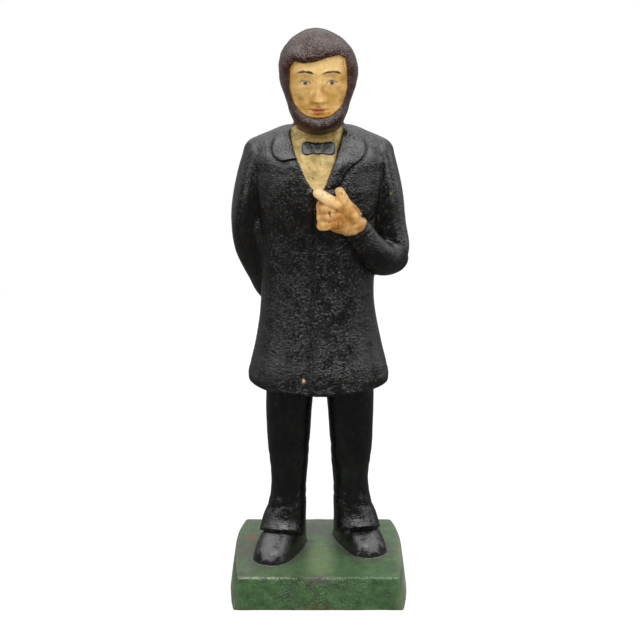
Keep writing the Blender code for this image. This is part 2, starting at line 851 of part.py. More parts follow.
# Pattern, core and screws


def pattern():
    """The whole figure fused to one skin, carved, and thinned to few facets."""
    forms = [loft(coat_sections(), 3.0), *sleeve_webs()]
    for side in (RIGHT, LEFT):
        forms += [limb(sleeve_knots(side)), leg_form(side), ankle_form(side), shoe_form(side)]
    forms += [neck_form(), loft(head_sections(), 2.0)]
    forms += left_hand() + right_hand() + bow_tie()
    figure = helper(mesh_object("figure_pattern", forms))
    fuse = figure.modifiers.new("fuse", "REMESH")
    fuse.mode = "VOXEL"
    fuse.voxel_size = PATTERN_GRAIN * MM
    soften = figure.modifiers.new("soften", "SMOOTH")
    soften.factor = 0.5
    soften.iterations = 3
    applied(figure)
    points = np.empty(len(figure.data.vertices) * 3, np.float32)
    figure.data.vertices.foreach_get("co", points)
    points = points.reshape(-1, 3).astype(float) / MM
    points = carve_head(carve_coat(points))
    figure.data.vertices.foreach_set("co", (points * MM).astype(np.float32).ravel())
    figure.data.update()
    thin = figure.modifiers.new("thin", "DECIMATE")
    thin.ratio = PATTERN_TRIANGLES / (2 * len(figure.data.polygons))
    thin.use_collapse_triangulate = True
    return applied(figure)


def screw_heights():
    """Height of each screw."""
    return {
        "lower_screw": WAIST_Z - LOWER_SCREW_DROP,
        "upper_screw": WAIST_Z + UPPER_SCREW_RISE,
    }


def body_core():
    """The hollow of the coat, neck and head, a wall's thickness inside them."""
    hem = coat_sections()[2]
    floor = HEM_Z + WALL + 4
    levels = [Section(floor, hem.half_width - WALL - 2, hem.front - WALL - 1, hem.back - WALL - 1)]
    levels += [
        Section(s.z, s.half_width - WALL, s.front - WALL, s.back - WALL)
        for s in coat_sections()
        if floor < s.z < COLLAR_Z - 12
    ]
    neck = COLLAR_WIDTH / 2 - WALL - 1
    head = HEAD_WIDTH / 2 - WALL
    levels += [
        Section(COLLAR_Z - 10, neck + 9, 8, 8),
        Section(COLLAR_Z - 3, neck, 5.5, 6.5),
        Section(CHIN_Z + 14, neck, 5.5, 8),
        Section(EYES_Z + 4, head - 1, HEAD_DEPTH * 0.4 - WALL, HEAD_DEPTH * 0.5 - WALL),
        Section(CROWN_Z - WALL - 7, head * 0.75, HEAD_DEPTH * 0.22, HEAD_DEPTH * 0.3),
        Section(CROWN_Z - WALL - 1, head * 0.3, HEAD_DEPTH * 0.09, HEAD_DEPTH * 0.12),
    ]
    return loft(levels, 9.0, CORE_POINTS)


def core():
    """The hollow of both halves, left solid round the screws."""
    hollow = helper(mesh_object("core", [body_core()]))
    for name, z in screw_heights().items():
        profile = [(0, BOSS_DIAMETER / 2), (2 * HEM_DEPTH, BOSS_DIAMETER / 2)]
        boss = helper(mesh_object(f"{name}_boss", [turned(profile, -HEM_DEPTH, z)]))
        boolean(hollow, "DIFFERENCE", boss)
    return hollow


def screw_top(z):
    """Y of a screw's head, sunk below the coat's back."""
    return reach_at(coat_sections(), BACK, z) - SCREW_HEAD_SINK


def screw_profile(clearance=0.0):
    """A screw's (distance from its tip, radius) steps, with clearance all round."""
    shank = SCREW_DIAMETER / 2 + clearance
    head = SCREW_HEAD_DIAMETER / 2 + clearance
    taper = (SCREW_HEAD_DIAMETER - SCREW_DIAMETER) / 2
    return [
        (-clearance, shank - SCREW_POINT),
        (SCREW_POINT, shank),
        (SCREW_LENGTH - taper, shank),
        (SCREW_LENGTH - SCREW_HEAD_RIM, head),
        (SCREW_LENGTH, head),
    ]


def screw_hole(name, z):
    """The tapped and countersunk hole of one screw, open to the back."""
    profile = screw_profile(SCREW_CLEARANCE)
    mouth = (SCREW_LENGTH + OVERCUT, profile[-1][1] + SCREW_CLEARANCE)
    form = turned(profile + [mouth], screw_top(z) - SCREW_LENGTH, z)
    return helper(mesh_object(f"{name}_hole", [form]))


def screw(name, z):
    """Slotted countersunk machine screw, head to the back."""
    body = mesh_object(name, [turned(screw_profile(), screw_top(z) - SCREW_LENGTH, z)])
    slot = bpy.data.meshes.new(f"{name}_slot")
    box = bmesh.new()
    bmesh.ops.create_cube(box, size=1.0)
    size = np.array((2 * SCREW_HEAD_DIAMETER, 2 * SCREW_SLOT_DEPTH, SCREW_SLOT_WIDTH)) * MM
    bmesh.ops.scale(box, vec=size, verts=box.verts)
    box.to_mesh(slot)
    box.free()
    cutter = helper(bpy.data.objects.new(f"{name}_slot", slot))
    cutter.location = (0, screw_top(z) * MM, z * MM)
    cutter.rotation_euler = (0, math.radians(SCREW_SLOT_TURN), 0)
    bpy.context.scene.collection.objects.link(cutter)
    boolean(body, "DIFFERENCE", cutter)
    return body


# Castings


def mould(side):
    """The box that one half of the pattern lies in."""
    near, far = side * PARTING_GAP / 2, side * (PLINTH_DEPTH + OVERCUT)
    reach = PLINTH_WIDTH + OVERCUT
    corners = [(-reach, near), (reach, near), (reach, far), (-reach, far)]
    rings = [np.array([(x, y, z) for x, y in corners]) for z in (0, CROWN_Z + OVERCUT)]
    return helper(mesh_object("front_mould" if side == FRONT else "back_mould", [skin(rings)]))


def half_casting(name, side, figure, block, cutters):
    """One half casting: pattern and plinth, parted, cored out and drilled."""
    obj = bpy.data.objects.new(name, figure.data.copy())
    bpy.context.scene.collection.objects.link(obj)
    boolean(obj, "UNION", block)
    boolean(obj, "INTERSECT", mould(side))
    for cutter in cutters:
        boolean(obj, "DIFFERENCE", cutter)
    return obj


def paint(obj, name, colour, roughness, metallic):
    """Gives obj one Principled material of its own."""
    material = bpy.data.materials.new(name)
    material.use_nodes = True
    shader = material.node_tree.nodes["Principled BSDF"]
    shader.inputs["Base Color"].default_value = (*colour, 1)
    shader.inputs["Roughness"].default_value = roughness
    shader.inputs["Metallic"].default_value = metallic
    obj.data.materials.clear()
    obj.data.materials.append(material)


def build():
    """Builds the two halves and their screws."""
    clear_scene()
    figure = pattern()
    block = plinth_block("plinth_block")
    cutters = [core(), plinth_block("plinth_hollow", WALL, -OVERCUT)]
    cutters += [screw_hole(name, z) for name, z in screw_heights().items()]
    for name, side in (("front_half", FRONT), ("back_half", BACK)):
        casting = half_casting(name, side, figure, block, cutters)
        paint(casting, "black_enamel_on_iron", (0.012, 0.012, 0.012), 0.45, 0.0)
    for name, z in screw_heights().items():
        paint(screw(name, z), "blackened_steel", (0.05, 0.05, 0.05), 0.5, 1.0)


build()
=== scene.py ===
"""Looks of a cast iron doorstop: a standing bearded man in a long coat on a green plinth.

The figure is shaped once as a foundry pattern, from the same forms as the CAD
but finer, and parted on the plane y = 0 into the front and the back casting.
Each casting is dressed in brushed enamel over sand-cast iron. Sizes are in
millimetres until a mesh is made, the figure faces -Y, and its own right side
is at -X.
"""

import logging
import math
from dataclasses import dataclass
from enum import Enum
from functools import partial
from typing import Any, Callable, Iterable, Sequence

import bmesh
import bpy
import numpy as np
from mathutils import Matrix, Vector
from mathutils.bvhtree import BVHTree


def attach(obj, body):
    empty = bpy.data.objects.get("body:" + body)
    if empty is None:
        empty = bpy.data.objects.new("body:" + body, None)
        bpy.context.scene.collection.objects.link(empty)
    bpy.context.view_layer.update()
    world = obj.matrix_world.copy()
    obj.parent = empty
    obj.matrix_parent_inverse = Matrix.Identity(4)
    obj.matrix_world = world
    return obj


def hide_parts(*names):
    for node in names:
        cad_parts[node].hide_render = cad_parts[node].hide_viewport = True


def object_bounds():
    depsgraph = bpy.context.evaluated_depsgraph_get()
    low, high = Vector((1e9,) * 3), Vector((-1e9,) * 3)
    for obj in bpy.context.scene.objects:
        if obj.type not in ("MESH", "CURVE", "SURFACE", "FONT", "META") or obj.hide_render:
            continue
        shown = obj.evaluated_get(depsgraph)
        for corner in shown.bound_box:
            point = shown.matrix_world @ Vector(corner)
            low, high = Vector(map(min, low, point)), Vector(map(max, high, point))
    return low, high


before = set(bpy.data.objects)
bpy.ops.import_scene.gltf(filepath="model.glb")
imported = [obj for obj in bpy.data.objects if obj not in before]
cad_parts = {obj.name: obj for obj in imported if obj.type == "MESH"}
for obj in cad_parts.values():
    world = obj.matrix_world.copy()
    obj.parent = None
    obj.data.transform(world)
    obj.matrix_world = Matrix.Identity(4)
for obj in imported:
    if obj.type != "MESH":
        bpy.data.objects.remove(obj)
CAD_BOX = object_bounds()

MM = 0.001
PHOTO_WIDTH = 640
FRONT, BACK = -1, 1
RIGHT, LEFT = -1, 1

log = logging.getLogger("doorstop")


# Curves and fields


def hermite(places: Sequence[float], rows: Sequence, at: np.ndarray) -> np.ndarray:
    """Smooth curves through rows that stand at rising places.

    Args:
        places: Where each row stands.
        rows: The values at those places.
        at: Where the curves are wanted.

    Returns:
        One row of values for each place in at.
    """
    places = np.asarray(places, float)
    rows = np.asarray(rows, float)
    slopes = np.gradient(rows, places, axis=0)
    index = np.clip(np.searchsorted(places, at) - 1, 0, len(places) - 2)
    step = (places[index + 1] - places[index])[:, None]
    t = (np.asarray(at) - places[index])[:, None] / step
    return (
        (2 * t**3 - 3 * t**2 + 1) * rows[index]
        + (t**3 - 2 * t**2 + t) * step * slopes[index]
        + (3 * t**2 - 2 * t**3) * rows[index + 1]
        + (t**3 - t**2) * step * slopes[index + 1]
    )


def rise(distance: np.ndarray, width: float = 1.0) -> np.ndarray:
    """A smooth step from 0 to 1 over width, centred where distance is 0."""
    t = np.clip(np.asarray(distance) / width + 0.5, 0, 1)
    return t * t * (3 - 2 * t)


def bell(distance: np.ndarray, width: float) -> np.ndarray:
    """A smooth hump of height 1, falling off over width."""
    return np.exp(-((np.asarray(distance) / width) ** 2))


def inside(x: np.ndarray, z: np.ndarray, outline: Sequence[tuple[float, float]]) -> np.ndarray:
    """Signed distance to a closed outline in the XZ plane.

    Args:
        x: Places across.
        z: Heights.
        outline: The outline's corners in order.

    Returns:
        Distances in millimetres, positive inside.
    """
    points = np.array(outline, float)
    nearest = np.full(len(x), 1e9)
    crossings = np.zeros(len(x), int)
    for (ax, az), (bx, bz) in zip(points, np.roll(points, -1, axis=0)):
        ex, ez = bx - ax, bz - az
        t = np.clip(((x - ax) * ex + (z - az) * ez) / (ex * ex + ez * ez + 1e-12), 0, 1)
        nearest = np.minimum(nearest, np.hypot(x - ax - t * ex, z - az - t * ez))
        spans = (az > z) != (bz > z)
        across = ax + (z - az) * ex / np.where(abs(ez) < 1e-9, 1e-9, ez)
        crossings += spans & (x < across)
    return np.where(crossings % 2 == 1, nearest, -nearest)


def rounded(outline: Sequence[tuple[float, float]], cuts: int = 6) -> list[tuple[float, float]]:
    """A smooth closed curve through the corners of an outline.

    Args:
        outline: The corners in order.
        cuts: How many points each side gets.

    Returns:
        The curve's points.
    """
    corners = np.array(outline, float)
    before, after = np.roll(corners, 1, axis=0), np.roll(corners, -1, axis=0)
    beyond = np.roll(corners, -2, axis=0)
    points = []
    for t in np.linspace(0, 1, cuts, endpoint=False):
        curve = 2 * corners + (after - before) * t
        curve += (2 * before - 5 * corners + 4 * after - beyond) * t**2
        curve += (3 * corners - before - 3 * after + beyond) * t**3
        points.append(curve / 2)
    return [tuple(point) for point in np.stack(points, axis=1).reshape(-1, 2)]


def lumps(points: np.ndarray, size: float, seed: int) -> np.ndarray:
    """Smooth unevenness such as a hand-made pattern has.

    Args:
        points: Points in millimetres.
        size: How far apart the lumps stand.
        seed: Which pattern of lumps.

    Returns:
        Values from -1 to 1.
    """
    cell = points / size
    base = np.floor(cell).astype(np.int64)
    part = cell - base
    part = part * part * (3 - 2 * part)
    total = np.zeros(len(points))
    for corner in np.ndindex(2, 2, 2):
        step = np.array(corner)
        key = ((base + step) * np.array((73856093, 19349663, 83492791))).sum(axis=1) + seed * 7919
        key = ((key ^ (key >> 13)) * 1274126177) & 0x7FFFFFFF
        key = ((key ^ (key >> 16)) * 60493) & 0x7FFFFFFF
        weight = np.prod(np.where(step, part, 1 - part), axis=1)
        total += weight * (key / 0x3FFFFFFF - 1)
    return total


# Forms


@dataclass(frozen=True)
class Form:
    """A closed surface: its points in millimetres and its faces."""

    points: np.ndarray
    faces: list[tuple[int, ...]]


@dataclass(frozen=True)
class Section:
    """A level ring: its centre, half width, reach to the front and back, and tilt."""

    z: float
    half_width: float
    front: float
    back: float
    x: float = 0.0
    y: float = 0.0
    lean: float = 0.0
    roll: float = 0.0
    power: float = 2.3


@dataclass(frozen=True)
class Knot:
    """One point of a limb's axis, with its half thickness across and along Y."""

    x: float
    y: float
    z: float
    across: float
    through: float


def turn_angles(count: int) -> np.ndarray:
    """Angles round a circle, half a step off the axes."""
    return (np.arange(count) + 0.5) * 2 * math.pi / count


def superellipse(power: float, count: int) -> tuple[np.ndarray, np.ndarray]:
    """Unit ring, from +X turning towards +Y.

    Args:
        power: 2 for a circle, more for a squarer ring.
        count: How many points.

    Returns:
        The ring's X and Y.
    """
    angle = turn_angles(count)
    cosine, sine = np.cos(angle), np.sin(angle)
    return (
        np.sign(cosine) * np.abs(cosine) ** (2 / power),
        np.sign(sine) * np.abs(sine) ** (2 / power),
    )


def skinned(rings: Sequence[np.ndarray]) -> Form:
    """The closed surface over a row of equal rings.

    Args:
        rings: Rings of points, one after another.

    Returns:
        The surface, with a flat face on the first and last ring.
    """
    count = len(rings[0])
    faces: list[tuple[int, ...]] = []
    for level in range(len(rings) - 1):
        low, high = level * count, (level + 1) * count
        for i in range(count):
            j = (i + 1) % count
            faces.append((low + i, low + j, high + j, high + i))
    top = (len(rings) - 1) * count
    faces.append(tuple(range(count))[::-1])
    faces.append(tuple(range(top, top + count)))
    return Form(np.vstack(rings), faces)


def loft(sections: Sequence[Section], step: float = 1.5, count: int = 96) -> Form:
    """The surface over level sections, smooth between them.

    Args:
        sections: The rings from the lowest to the highest.
        step: Height between the rings that are made.
        count: Points round each ring.

    Returns:
        The surface.
    """
    places = [s.z for s in sections]
    rows = [
        (s.half_width, s.front, s.back, s.x, s.y, s.lean, s.roll, s.power) for s in sections
    ]
    levels = max(2, int(round((places[-1] - places[0]) / step)) + 1)
    heights = np.linspace(places[0], places[-1], levels)
    rings = []
    for z, row in zip(heights, hermite(places, rows, heights)):
        half_width, front, back, x, y, lean, roll, power = row
        across, along = superellipse(power, count)
        ring_x = half_width * across
        ring_y = np.where(along < 0, front, back) * along
        rings.append(np.column_stack((x + ring_x, y + ring_y, z + lean * ring_y + roll * ring_x)))
    return skinned(rings)


def limb(knots: Sequence[Knot], step: float = 1.2, count: int = 48) -> Form:
    """A round-ended tube along a smooth axis.

    Args:
        knots: The axis and its thickness, from one end to the other.
        step: Distance between the rings that are made.
        count: Points round each ring.

    Returns:
        The tube.
    """
    centres = np.array([(k.x, k.y, k.z) for k in knots])
    spans = np.linalg.norm(np.diff(centres, axis=0), axis=1)
    lengths = np.concatenate(([0], np.cumsum(spans)))
    rows = [(k.x, k.y, k.z, k.across, k.through) for k in knots]
    places = np.linspace(0, lengths[-1], max(4, int(lengths[-1] / step)) + 1)
    path = hermite(lengths, rows, places)
    tangent = np.gradient(path[:, :3], axis=0)
    tangent /= np.linalg.norm(tangent, axis=1)[:, None]
    angle = turn_angles(count)

    def ring(centre: np.ndarray, along: np.ndarray, across: float, through: float) -> np.ndarray:
        """One ring square to the axis, through being its half thickness nearest Y.

        Args:
            centre: Its middle.
            along: The axis's direction there.
            across: Half its thickness across.
            through: Half its thickness nearest Y.

        Returns:
            The ring's points.
        """
        depth = np.array((0.0, 1.0, 0.0)) - along[1] * along
        if np.linalg.norm(depth) < 0.2:
            depth = np.array((0.0, 0.0, 1.0)) - along[2] * along
        depth /= np.linalg.norm(depth)
        side = np.cross(depth, along)
        return (
            centre
            + np.outer(np.cos(angle) * across, side)
            + np.outer(np.sin(angle) * through, depth)
        )

    def cap(end: int, away: int) -> list[np.ndarray]:
        """Shrinking rings past one end, from its rim outwards."""
        centre, along, halves = path[end, :3], tangent[end], path[end, 3:]
        return [
            ring(centre + away * along * math.sin(a) * min(halves), along, *(halves * math.cos(a)))
            for a in np.radians((12, 24, 36, 48, 60, 72, 82))
        ]

    tube = [ring(row[:3], along, *row[3:]) for row, along in zip(path, tangent)]
    return skinned(cap(0, -1)[::-1] + tube + cap(-1, 1))


def ball(centre: Sequence[float], radii: Sequence[float], count: int = 40) -> Form:
    """An ellipsoid.

    Args:
        centre: Its middle.
        radii: Its three half axes.
        count: Points round it.

    Returns:
        The surface.
    """
    angle = turn_angles(count)
    rings = []
    for a in np.radians(np.linspace(-86, 86, count // 2)):
        ring_x = centre[0] + radii[0] * math.cos(a) * np.cos(angle)
        ring_y = centre[1] + radii[1] * math.cos(a) * np.sin(angle)
        level = np.full(count, centre[2] + radii[2] * math.sin(a))
        rings.append(np.column_stack((ring_x, ring_y, level)))
    return skinned(rings)


def turned(profile: Sequence[tuple[float, float]], y_from: float, z: float, count: int) -> Form:
    """A form turned about a line along Y.

    Args:
        profile: Steps of (distance along the line, radius).
        y_from: Where the line starts.
        z: The line's height.
        count: Points round it.

    Returns:
        The surface.
    """
    angle = turn_angles(count)
    return skinned(
        [
            np.column_stack(
                (radius * np.cos(angle), np.full(count, y_from + along), z + radius * np.sin(angle))
            )
            for along, radius in profile
        ]
    )


def block(low: Sequence[float], high: Sequence[float]) -> Form:
    """A box between two corners, for a cut or a parting."""
    rings = [
        np.array([(x, y, z) for x, y in ((low[0], low[1]), (high[0], low[1]),
                                         (high[0], high[1]), (low[0], high[1]))])
        for z in (low[2], high[2])
    ]
    return skinned(rings)


def linked(name: str, data: bpy.types.ID) -> bpy.types.Object:
    """A new object for some data, linked into the scene.

    Args:
        name: The object's name.
        data: Its mesh, light or camera.

    Returns:
        The object.
    """
    obj = bpy.data.objects.new(name, data)
    bpy.context.scene.collection.objects.link(obj)
    return obj


def mesh_object(name: str, forms: Iterable[Form]) -> bpy.types.Object:
    """One object holding closed surfaces.

    Args:
        name: The object's name.
        forms: The surfaces, in millimetres.

    Returns:
        The object, in metres, with its faces turned outwards.
    """
    points, faces, start = [], [], 0
    for form in forms:
        points.append(form.points)
        faces += [tuple(start + i for i in face) for face in form.faces]
        start += len(form.points)
    mesh = bpy.data.meshes.new(name)
    mesh.from_pydata((np.vstack(points) * MM).tolist(), [], faces)
    shell = bmesh.new()
    shell.from_mesh(mesh)
    bmesh.ops.recalc_face_normals(shell, faces=shell.faces)
    shell.to_mesh(mesh)
    shell.free()
    return linked(name, mesh)


def applied(obj: bpy.types.Object) -> bpy.types.Object:
    """Gives obj its evaluated mesh and drops its modifiers.

    Args:
        obj: The object.

    Returns:
        The same object.
    """
    graph = bpy.context.evaluated_depsgraph_get()
    mesh = bpy.data.meshes.new_from_object(obj.evaluated_get(graph))
    obj.modifiers.clear()
    old, obj.data = obj.data, mesh
    bpy.data.meshes.remove(old)
    return obj


def combine(obj: bpy.types.Object, operation: str, other: bpy.types.Object) -> None:
    """Runs one Boolean of closed meshes and removes the other object.

    Args:
        obj: The object that changes.
        operation: UNION, DIFFERENCE or INTERSECT.
        other: The object that it is joined to, or cut by.
    """
    modifier = obj.modifiers.new(operation.lower(), "BOOLEAN")
    modifier.operation = operation
    modifier.object = other
    modifier.solver = "MANIFOLD"
    applied(obj)
    bpy.data.objects.remove(other, do_unlink=True)


def column(items: Any, name: str, width: int, kind: type) -> np.ndarray:
    """Reads one property of every vertex, edge or polygon.

    Args:
        items: The mesh's vertices, edges or polygons.
        name: The property.
        width: How many numbers it holds.
        kind: Their type.

    Returns:
        One row for each item.
    """
    flat = np.empty(len(items) * width, kind)
    items.foreach_get(name, flat)
    return flat.reshape(-1, width)


# Regions of the figure


class Region(Enum):
    """What a stretch of the casting's skin stands for."""

    HEAD = "head"
    FIST = "fist"
    OPEN_HAND = "open_hand"
    COAT = "coat"
    TROUSERS = "trousers"
    SHOES = "shoes"
    PLINTH = "plinth"


FAR = 8.0


class Clay:
    """The pattern's skin while it is shaped: its points, normals and regions."""

    def __init__(self, obj: bpy.types.Object, forms: dict[Region, list[Form]]) -> None:
        """Reads the skin of obj and finds which region each point belongs to.

        Args:
            obj: The fused figure.
            forms: The forms of each region, in millimetres.
        """
        self.obj = obj
        self.forms = forms
        self.read()
        self.territory = self.measure()

    def read(self) -> None:
        """Takes the points and normals from the mesh as it is now."""
        mesh = self.obj.data
        self.points = column(mesh.vertices, "co", 3, np.float32).astype(float) / MM
        self.x, self.y, self.z = self.points.T
        self.normals = column(mesh.vertex_normals, "vector", 3, np.float32).astype(float)

    def measure(self) -> dict[Region, np.ndarray]:
        """How far each point lies inside each region, and outside it where negative.

        Returns:
            By region, distances in millimetres, at most FAR.
        """
        reach = {}
        for region, forms in self.forms.items():
            low = np.min([form.points.min(axis=0) for form in forms], axis=0) - FAR
            high = np.max([form.points.max(axis=0) for form in forms], axis=0) + FAR
            near = np.all((self.points > low) & (self.points < high), axis=1)
            distance = np.full(len(self.points), FAR)
            for form in forms:
                tree = BVHTree.FromPolygons(form.points.tolist(), form.faces)
                for i in np.nonzero(near)[0]:
                    hit = tree.find_nearest(self.points[i], FAR)[3]
                    if hit is not None and hit < distance[i]:
                        distance[i] = hit
            reach[region] = distance
        stack = np.stack(list(reach.values()))
        territory = {}
        for index, region in enumerate(reach):
            others = np.delete(stack, index, axis=0).min(axis=0)
            territory[region] = others - stack[index]
        return territory

    def within(self, region: Region, width: float = 1.0) -> np.ndarray:
        """1 inside a region and 0 outside it, with a smooth edge."""
        return rise(self.territory[region], width)

    def swell(self, amount: np.ndarray) -> None:
        """Moves the points along their normals."""
        self.points += self.normals * np.asarray(amount)[:, None]

    def pull(self, amount: np.ndarray) -> None:
        """Moves the points towards the front."""
        self.points[:, 1] -= amount

    def relax(self, weight: np.ndarray, rounds: int) -> None:
        """Rounds off corners and joints but keeps the bulk.

        Args:
            weight: How far each point takes part, from 0 to 1.
            rounds: How often the points move towards their neighbours' mean and back.
        """
        a, b = column(self.obj.data.edges, "vertices", 2, np.int32).T
        count = len(self.points)
        ties = np.bincount(a, minlength=count) + np.bincount(b, minlength=count) + 1e-6
        for step in (0.6, -0.62) * rounds:
            means = [(np.bincount(a, row[b], count) + np.bincount(b, row[a], count)) / ties
                     for row in self.points.T]
            self.points += (step * weight)[:, None] * (np.stack(means, axis=1) - self.points)
        self.write()
        self.read()

    def write(self) -> None:
        """Puts the points back into the mesh."""
        self.obj.data.vertices.foreach_set("co", (self.points * MM).astype(np.float32).ravel())
        self.obj.data.update()


@dataclass(frozen=True)
class Heights:
    """The heights that the figure is built up from."""

    plinth: float = 21.2
    legs: float = 105.3
    skirt: float = 48.0
    body: float = 105.0
    head_sink: float = 4.0
    head: float = 55.0

    @property
    def hem(self) -> float:
        """The coat's hem."""
        return self.plinth + self.legs

    @property
    def waist(self) -> float:
        """The coat's waist."""
        return self.hem + self.skirt

    @property
    def collar(self) -> float:
        """The foot of the collar."""
        return self.waist + self.body

    @property
    def chin(self) -> float:
        """The underside of the beard."""
        return self.collar - self.head_sink

    @property
    def crown(self) -> float:
        """The top of the hair."""
        return self.chin + self.head

    @property
    def eyes(self) -> float:
        """The eyes, half way up the head."""
        return (self.chin + self.crown) / 2


LEVEL = Heights()


# Plinth


@dataclass(frozen=True)
class Plinth:
    """The block that the figure stands on, open underneath."""

    width: float = 105.0
    depth: float = 84.0
    height: float = LEVEL.plinth
    side_draft: float = 2.7
    bulge_front: float = 3.0
    bulge_back: float = 5.0
    top_draft: float = 0.4
    edge_radius: float = 1.4
    wall: float = 5.0

    def half_width(self, y: float, z: float) -> float:
        """Half width, widest at the parting plane and at the floor.

        Args:
            y: Place along Y.
            z: Height.

        Returns:
            Half the block's width there.
        """
        bulge = self.bulge_front if y < 0 else self.bulge_back
        narrowing = bulge * abs(2 * y / self.depth) ** 2.4
        return self.width / 2 - narrowing - self.side_draft * z / self.height

    def top(self, y: float) -> float:
        """Height of the top, which falls away from the parting plane."""
        return self.height - self.top_draft * abs(2 * y / self.depth)

    def outline(self, y: float, inset: float, floor: float) -> np.ndarray:
        """One ring across the block at a depth, from the floor over the top and down.

        Args:
            y: Place along Y.
            inset: How far inside the skin the ring runs.
            floor: Height at which it starts and ends.

        Returns:
            The ring's points.
        """
        top = self.top(y) - inset
        foot = self.half_width(y, floor) - inset
        shoulder = self.half_width(y, top) - inset
        edge = [(foot, floor)]
        for a in np.radians((0, 22, 45, 67, 90)):
            inwards, down = 1 - math.cos(a), 1 - math.sin(a)
            edge.append((shoulder - self.edge_radius * inwards, top - self.edge_radius * down))
        return np.array([(x, y, z) for x, z in edge + [(-x, z) for x, z in edge[::-1]]])

    def forms(self) -> list[Form]:
        """The block, still without its pocket.

        Returns:
            The block's skin, with rounded edges.
        """
        reach = self.depth / 2
        near = reach - self.edge_radius
        rim = [near, reach - 0.25, reach]
        depths = [-y for y in rim[::-1]] + [*np.linspace(-near, near, 31)[1:-1]] + rim
        rings = []
        for y in depths:
            ring = self.outline(y, 0.0, 0.0)
            past = max(0.0, abs(y) - near)
            sink = self.edge_radius - math.sqrt(max(0.0, self.edge_radius**2 - past**2))
            ring[:, 0] -= np.sign(ring[:, 0]) * sink * 0.6
            ring[:, 2] = np.where(ring[:, 2] > 1, ring[:, 2] - sink, ring[:, 2])
            rings.append(ring)
        return [skinned(rings)]

    def pocket(self) -> Form:
        """The hollow under the block, down past the floor."""
        reach = self.depth / 2 - self.wall
        return skinned([self.outline(y, self.wall, -2.0) for y in np.linspace(-reach, reach, 15)])


# Legs and shoes


@dataclass(frozen=True)
class Stance:
    """Where the legs and feet stand."""

    hip_spread: float = 35.8
    foot_spread: float = 44.4
    shoe_spread: float = 41.0
    shift: float = 0.8
    right_step: float = 5.0
    ankle_setback: float = 9.8

    def stand(self, side: int, spread: float) -> float:
        """X of one leg's axis where the two legs stand this far apart."""
        return side * spread / 2 + self.shift

    def ankle_y(self, side: int) -> float:
        """Y of the ankle. The right foot stands a step ahead of the left one."""
        return self.ankle_setback + (-self.right_step if side == RIGHT else self.right_step)


STANCE = Stance()


@dataclass(frozen=True)
class Trousers:
    """Both trouser legs, from the break over the shoe up into the coat."""

    thigh_width: float = 27.0
    thigh_depth: float = 27.0
    shin_width: float = 20.8
    shin_depth: float = 23.0
    hem_width: float = 27.6
    hem_depth: float = 30.0
    hem_rise: float = 9.0
    hem_kick: float = 3.6
    ankle_width: float = 21.0
    ankle_height: float = 13.5
    fold_depth: float = 0.35

    def leg(self, side: int) -> Form:
        """One trouser leg. Its hem dips towards the heel and the outside.

        Args:
            side: RIGHT or LEFT.

        Returns:
            The leg.
        """
        hip = STANCE.stand(side, STANCE.hip_spread)
        foot = STANCE.stand(side, STANCE.foot_spread)
        ankle = (STANCE.ankle_setback + STANCE.ankle_y(side)) * 0.4 - 1.0
        hem = LEVEL.plinth + self.hem_rise
        knee_width = (self.shin_width + self.thigh_width) / 2
        knee_depth = (self.shin_depth + self.thigh_depth) / 2
        lean, roll = -0.5, side * 0.09
        # Height, centre across and along Y, width, depth, lean and roll
        stations = [
            (hem, foot, ankle - self.hem_kick, self.hem_width, self.hem_depth + 1.5, lean, roll),
            (hem + 8, foot - side * 0.9, ankle - 0.4 - self.hem_kick * 0.55, self.hem_width - 1.6,
             self.hem_depth - 1.6, lean * 0.7, roll * 0.7),
            (hem + 20, hip + side * 1.3, ankle - 2.4, self.shin_width + 1.6, self.shin_depth + 2.2,
             -0.12, 0),
            (hem + 32, hip + side * 0.4, ankle - 2.5, self.shin_width, self.shin_depth, 0, 0),
            (LEVEL.hem - 45, hip + side * 0.4, 2.0, knee_width, knee_depth, 0, 0),
            (LEVEL.hem - 14, hip, 1.0, self.thigh_width, self.thigh_depth, 0, 0),
            (LEVEL.hem + 12, hip - side * 2.0, 0.0, self.thigh_width + 2, self.thigh_depth + 2, 0, 0),
        ]
        sections = [
            Section(z, width / 2, depth / 2, depth / 2, x, y, lean, roll)
            for z, x, y, width, depth, lean, roll in stations
        ]
        return loft(sections, 1.2, 72)

    def ankle(self, side: int) -> Form:
        """The ankle that fills the trouser leg down into the shoe.

        Args:
            side: RIGHT or LEFT.

        Returns:
            The ankle.
        """
        x = STANCE.stand(side, STANCE.shoe_spread)
        centre = (x, STANCE.ankle_setback * 0.7, LEVEL.plinth + self.hem_rise)
        return ball(centre, (self.ankle_width * 0.5, self.ankle_width * 0.55, self.ankle_height))

    def forms(self) -> list[Form]:
        """Both legs."""
        return [self.leg(side) for side in (RIGHT, LEFT)]

    def carve(self, clay: Clay) -> None:
        """Presses soft folds into the cloth above the shoes and behind the knees.

        Args:
            clay: The pattern's skin, which is moved.
        """
        cloth = clay.within(Region.TROUSERS, 2.0)
        for side in (RIGHT, LEFT):
            own = (clay.x - STANCE.shift) * side > 0
            off = clay.x - STANCE.stand(side, STANCE.hip_spread)
            low = LEVEL.plinth + self.hem_rise
            slanted = clay.z + 0.28 * side * off + 0.1 * clay.y
            fold = bell(slanted - low - 21, 1.7) * 0.8 + bell(slanted - low - 27.5, 1.9) * 0.5
            knee = bell(slanted - LEVEL.hem + 43, 2.6) + 0.7 * bell(slanted - LEVEL.hem + 50, 2.4)
            crease = bell(off - 0.5 * side, 1.1) * rise(-clay.y - 4, 4)
            amount = -self.fold_depth * (fold + knee * rise(clay.y + 2, 6)) + 0.22 * crease
            clay.swell(amount * cloth * own)


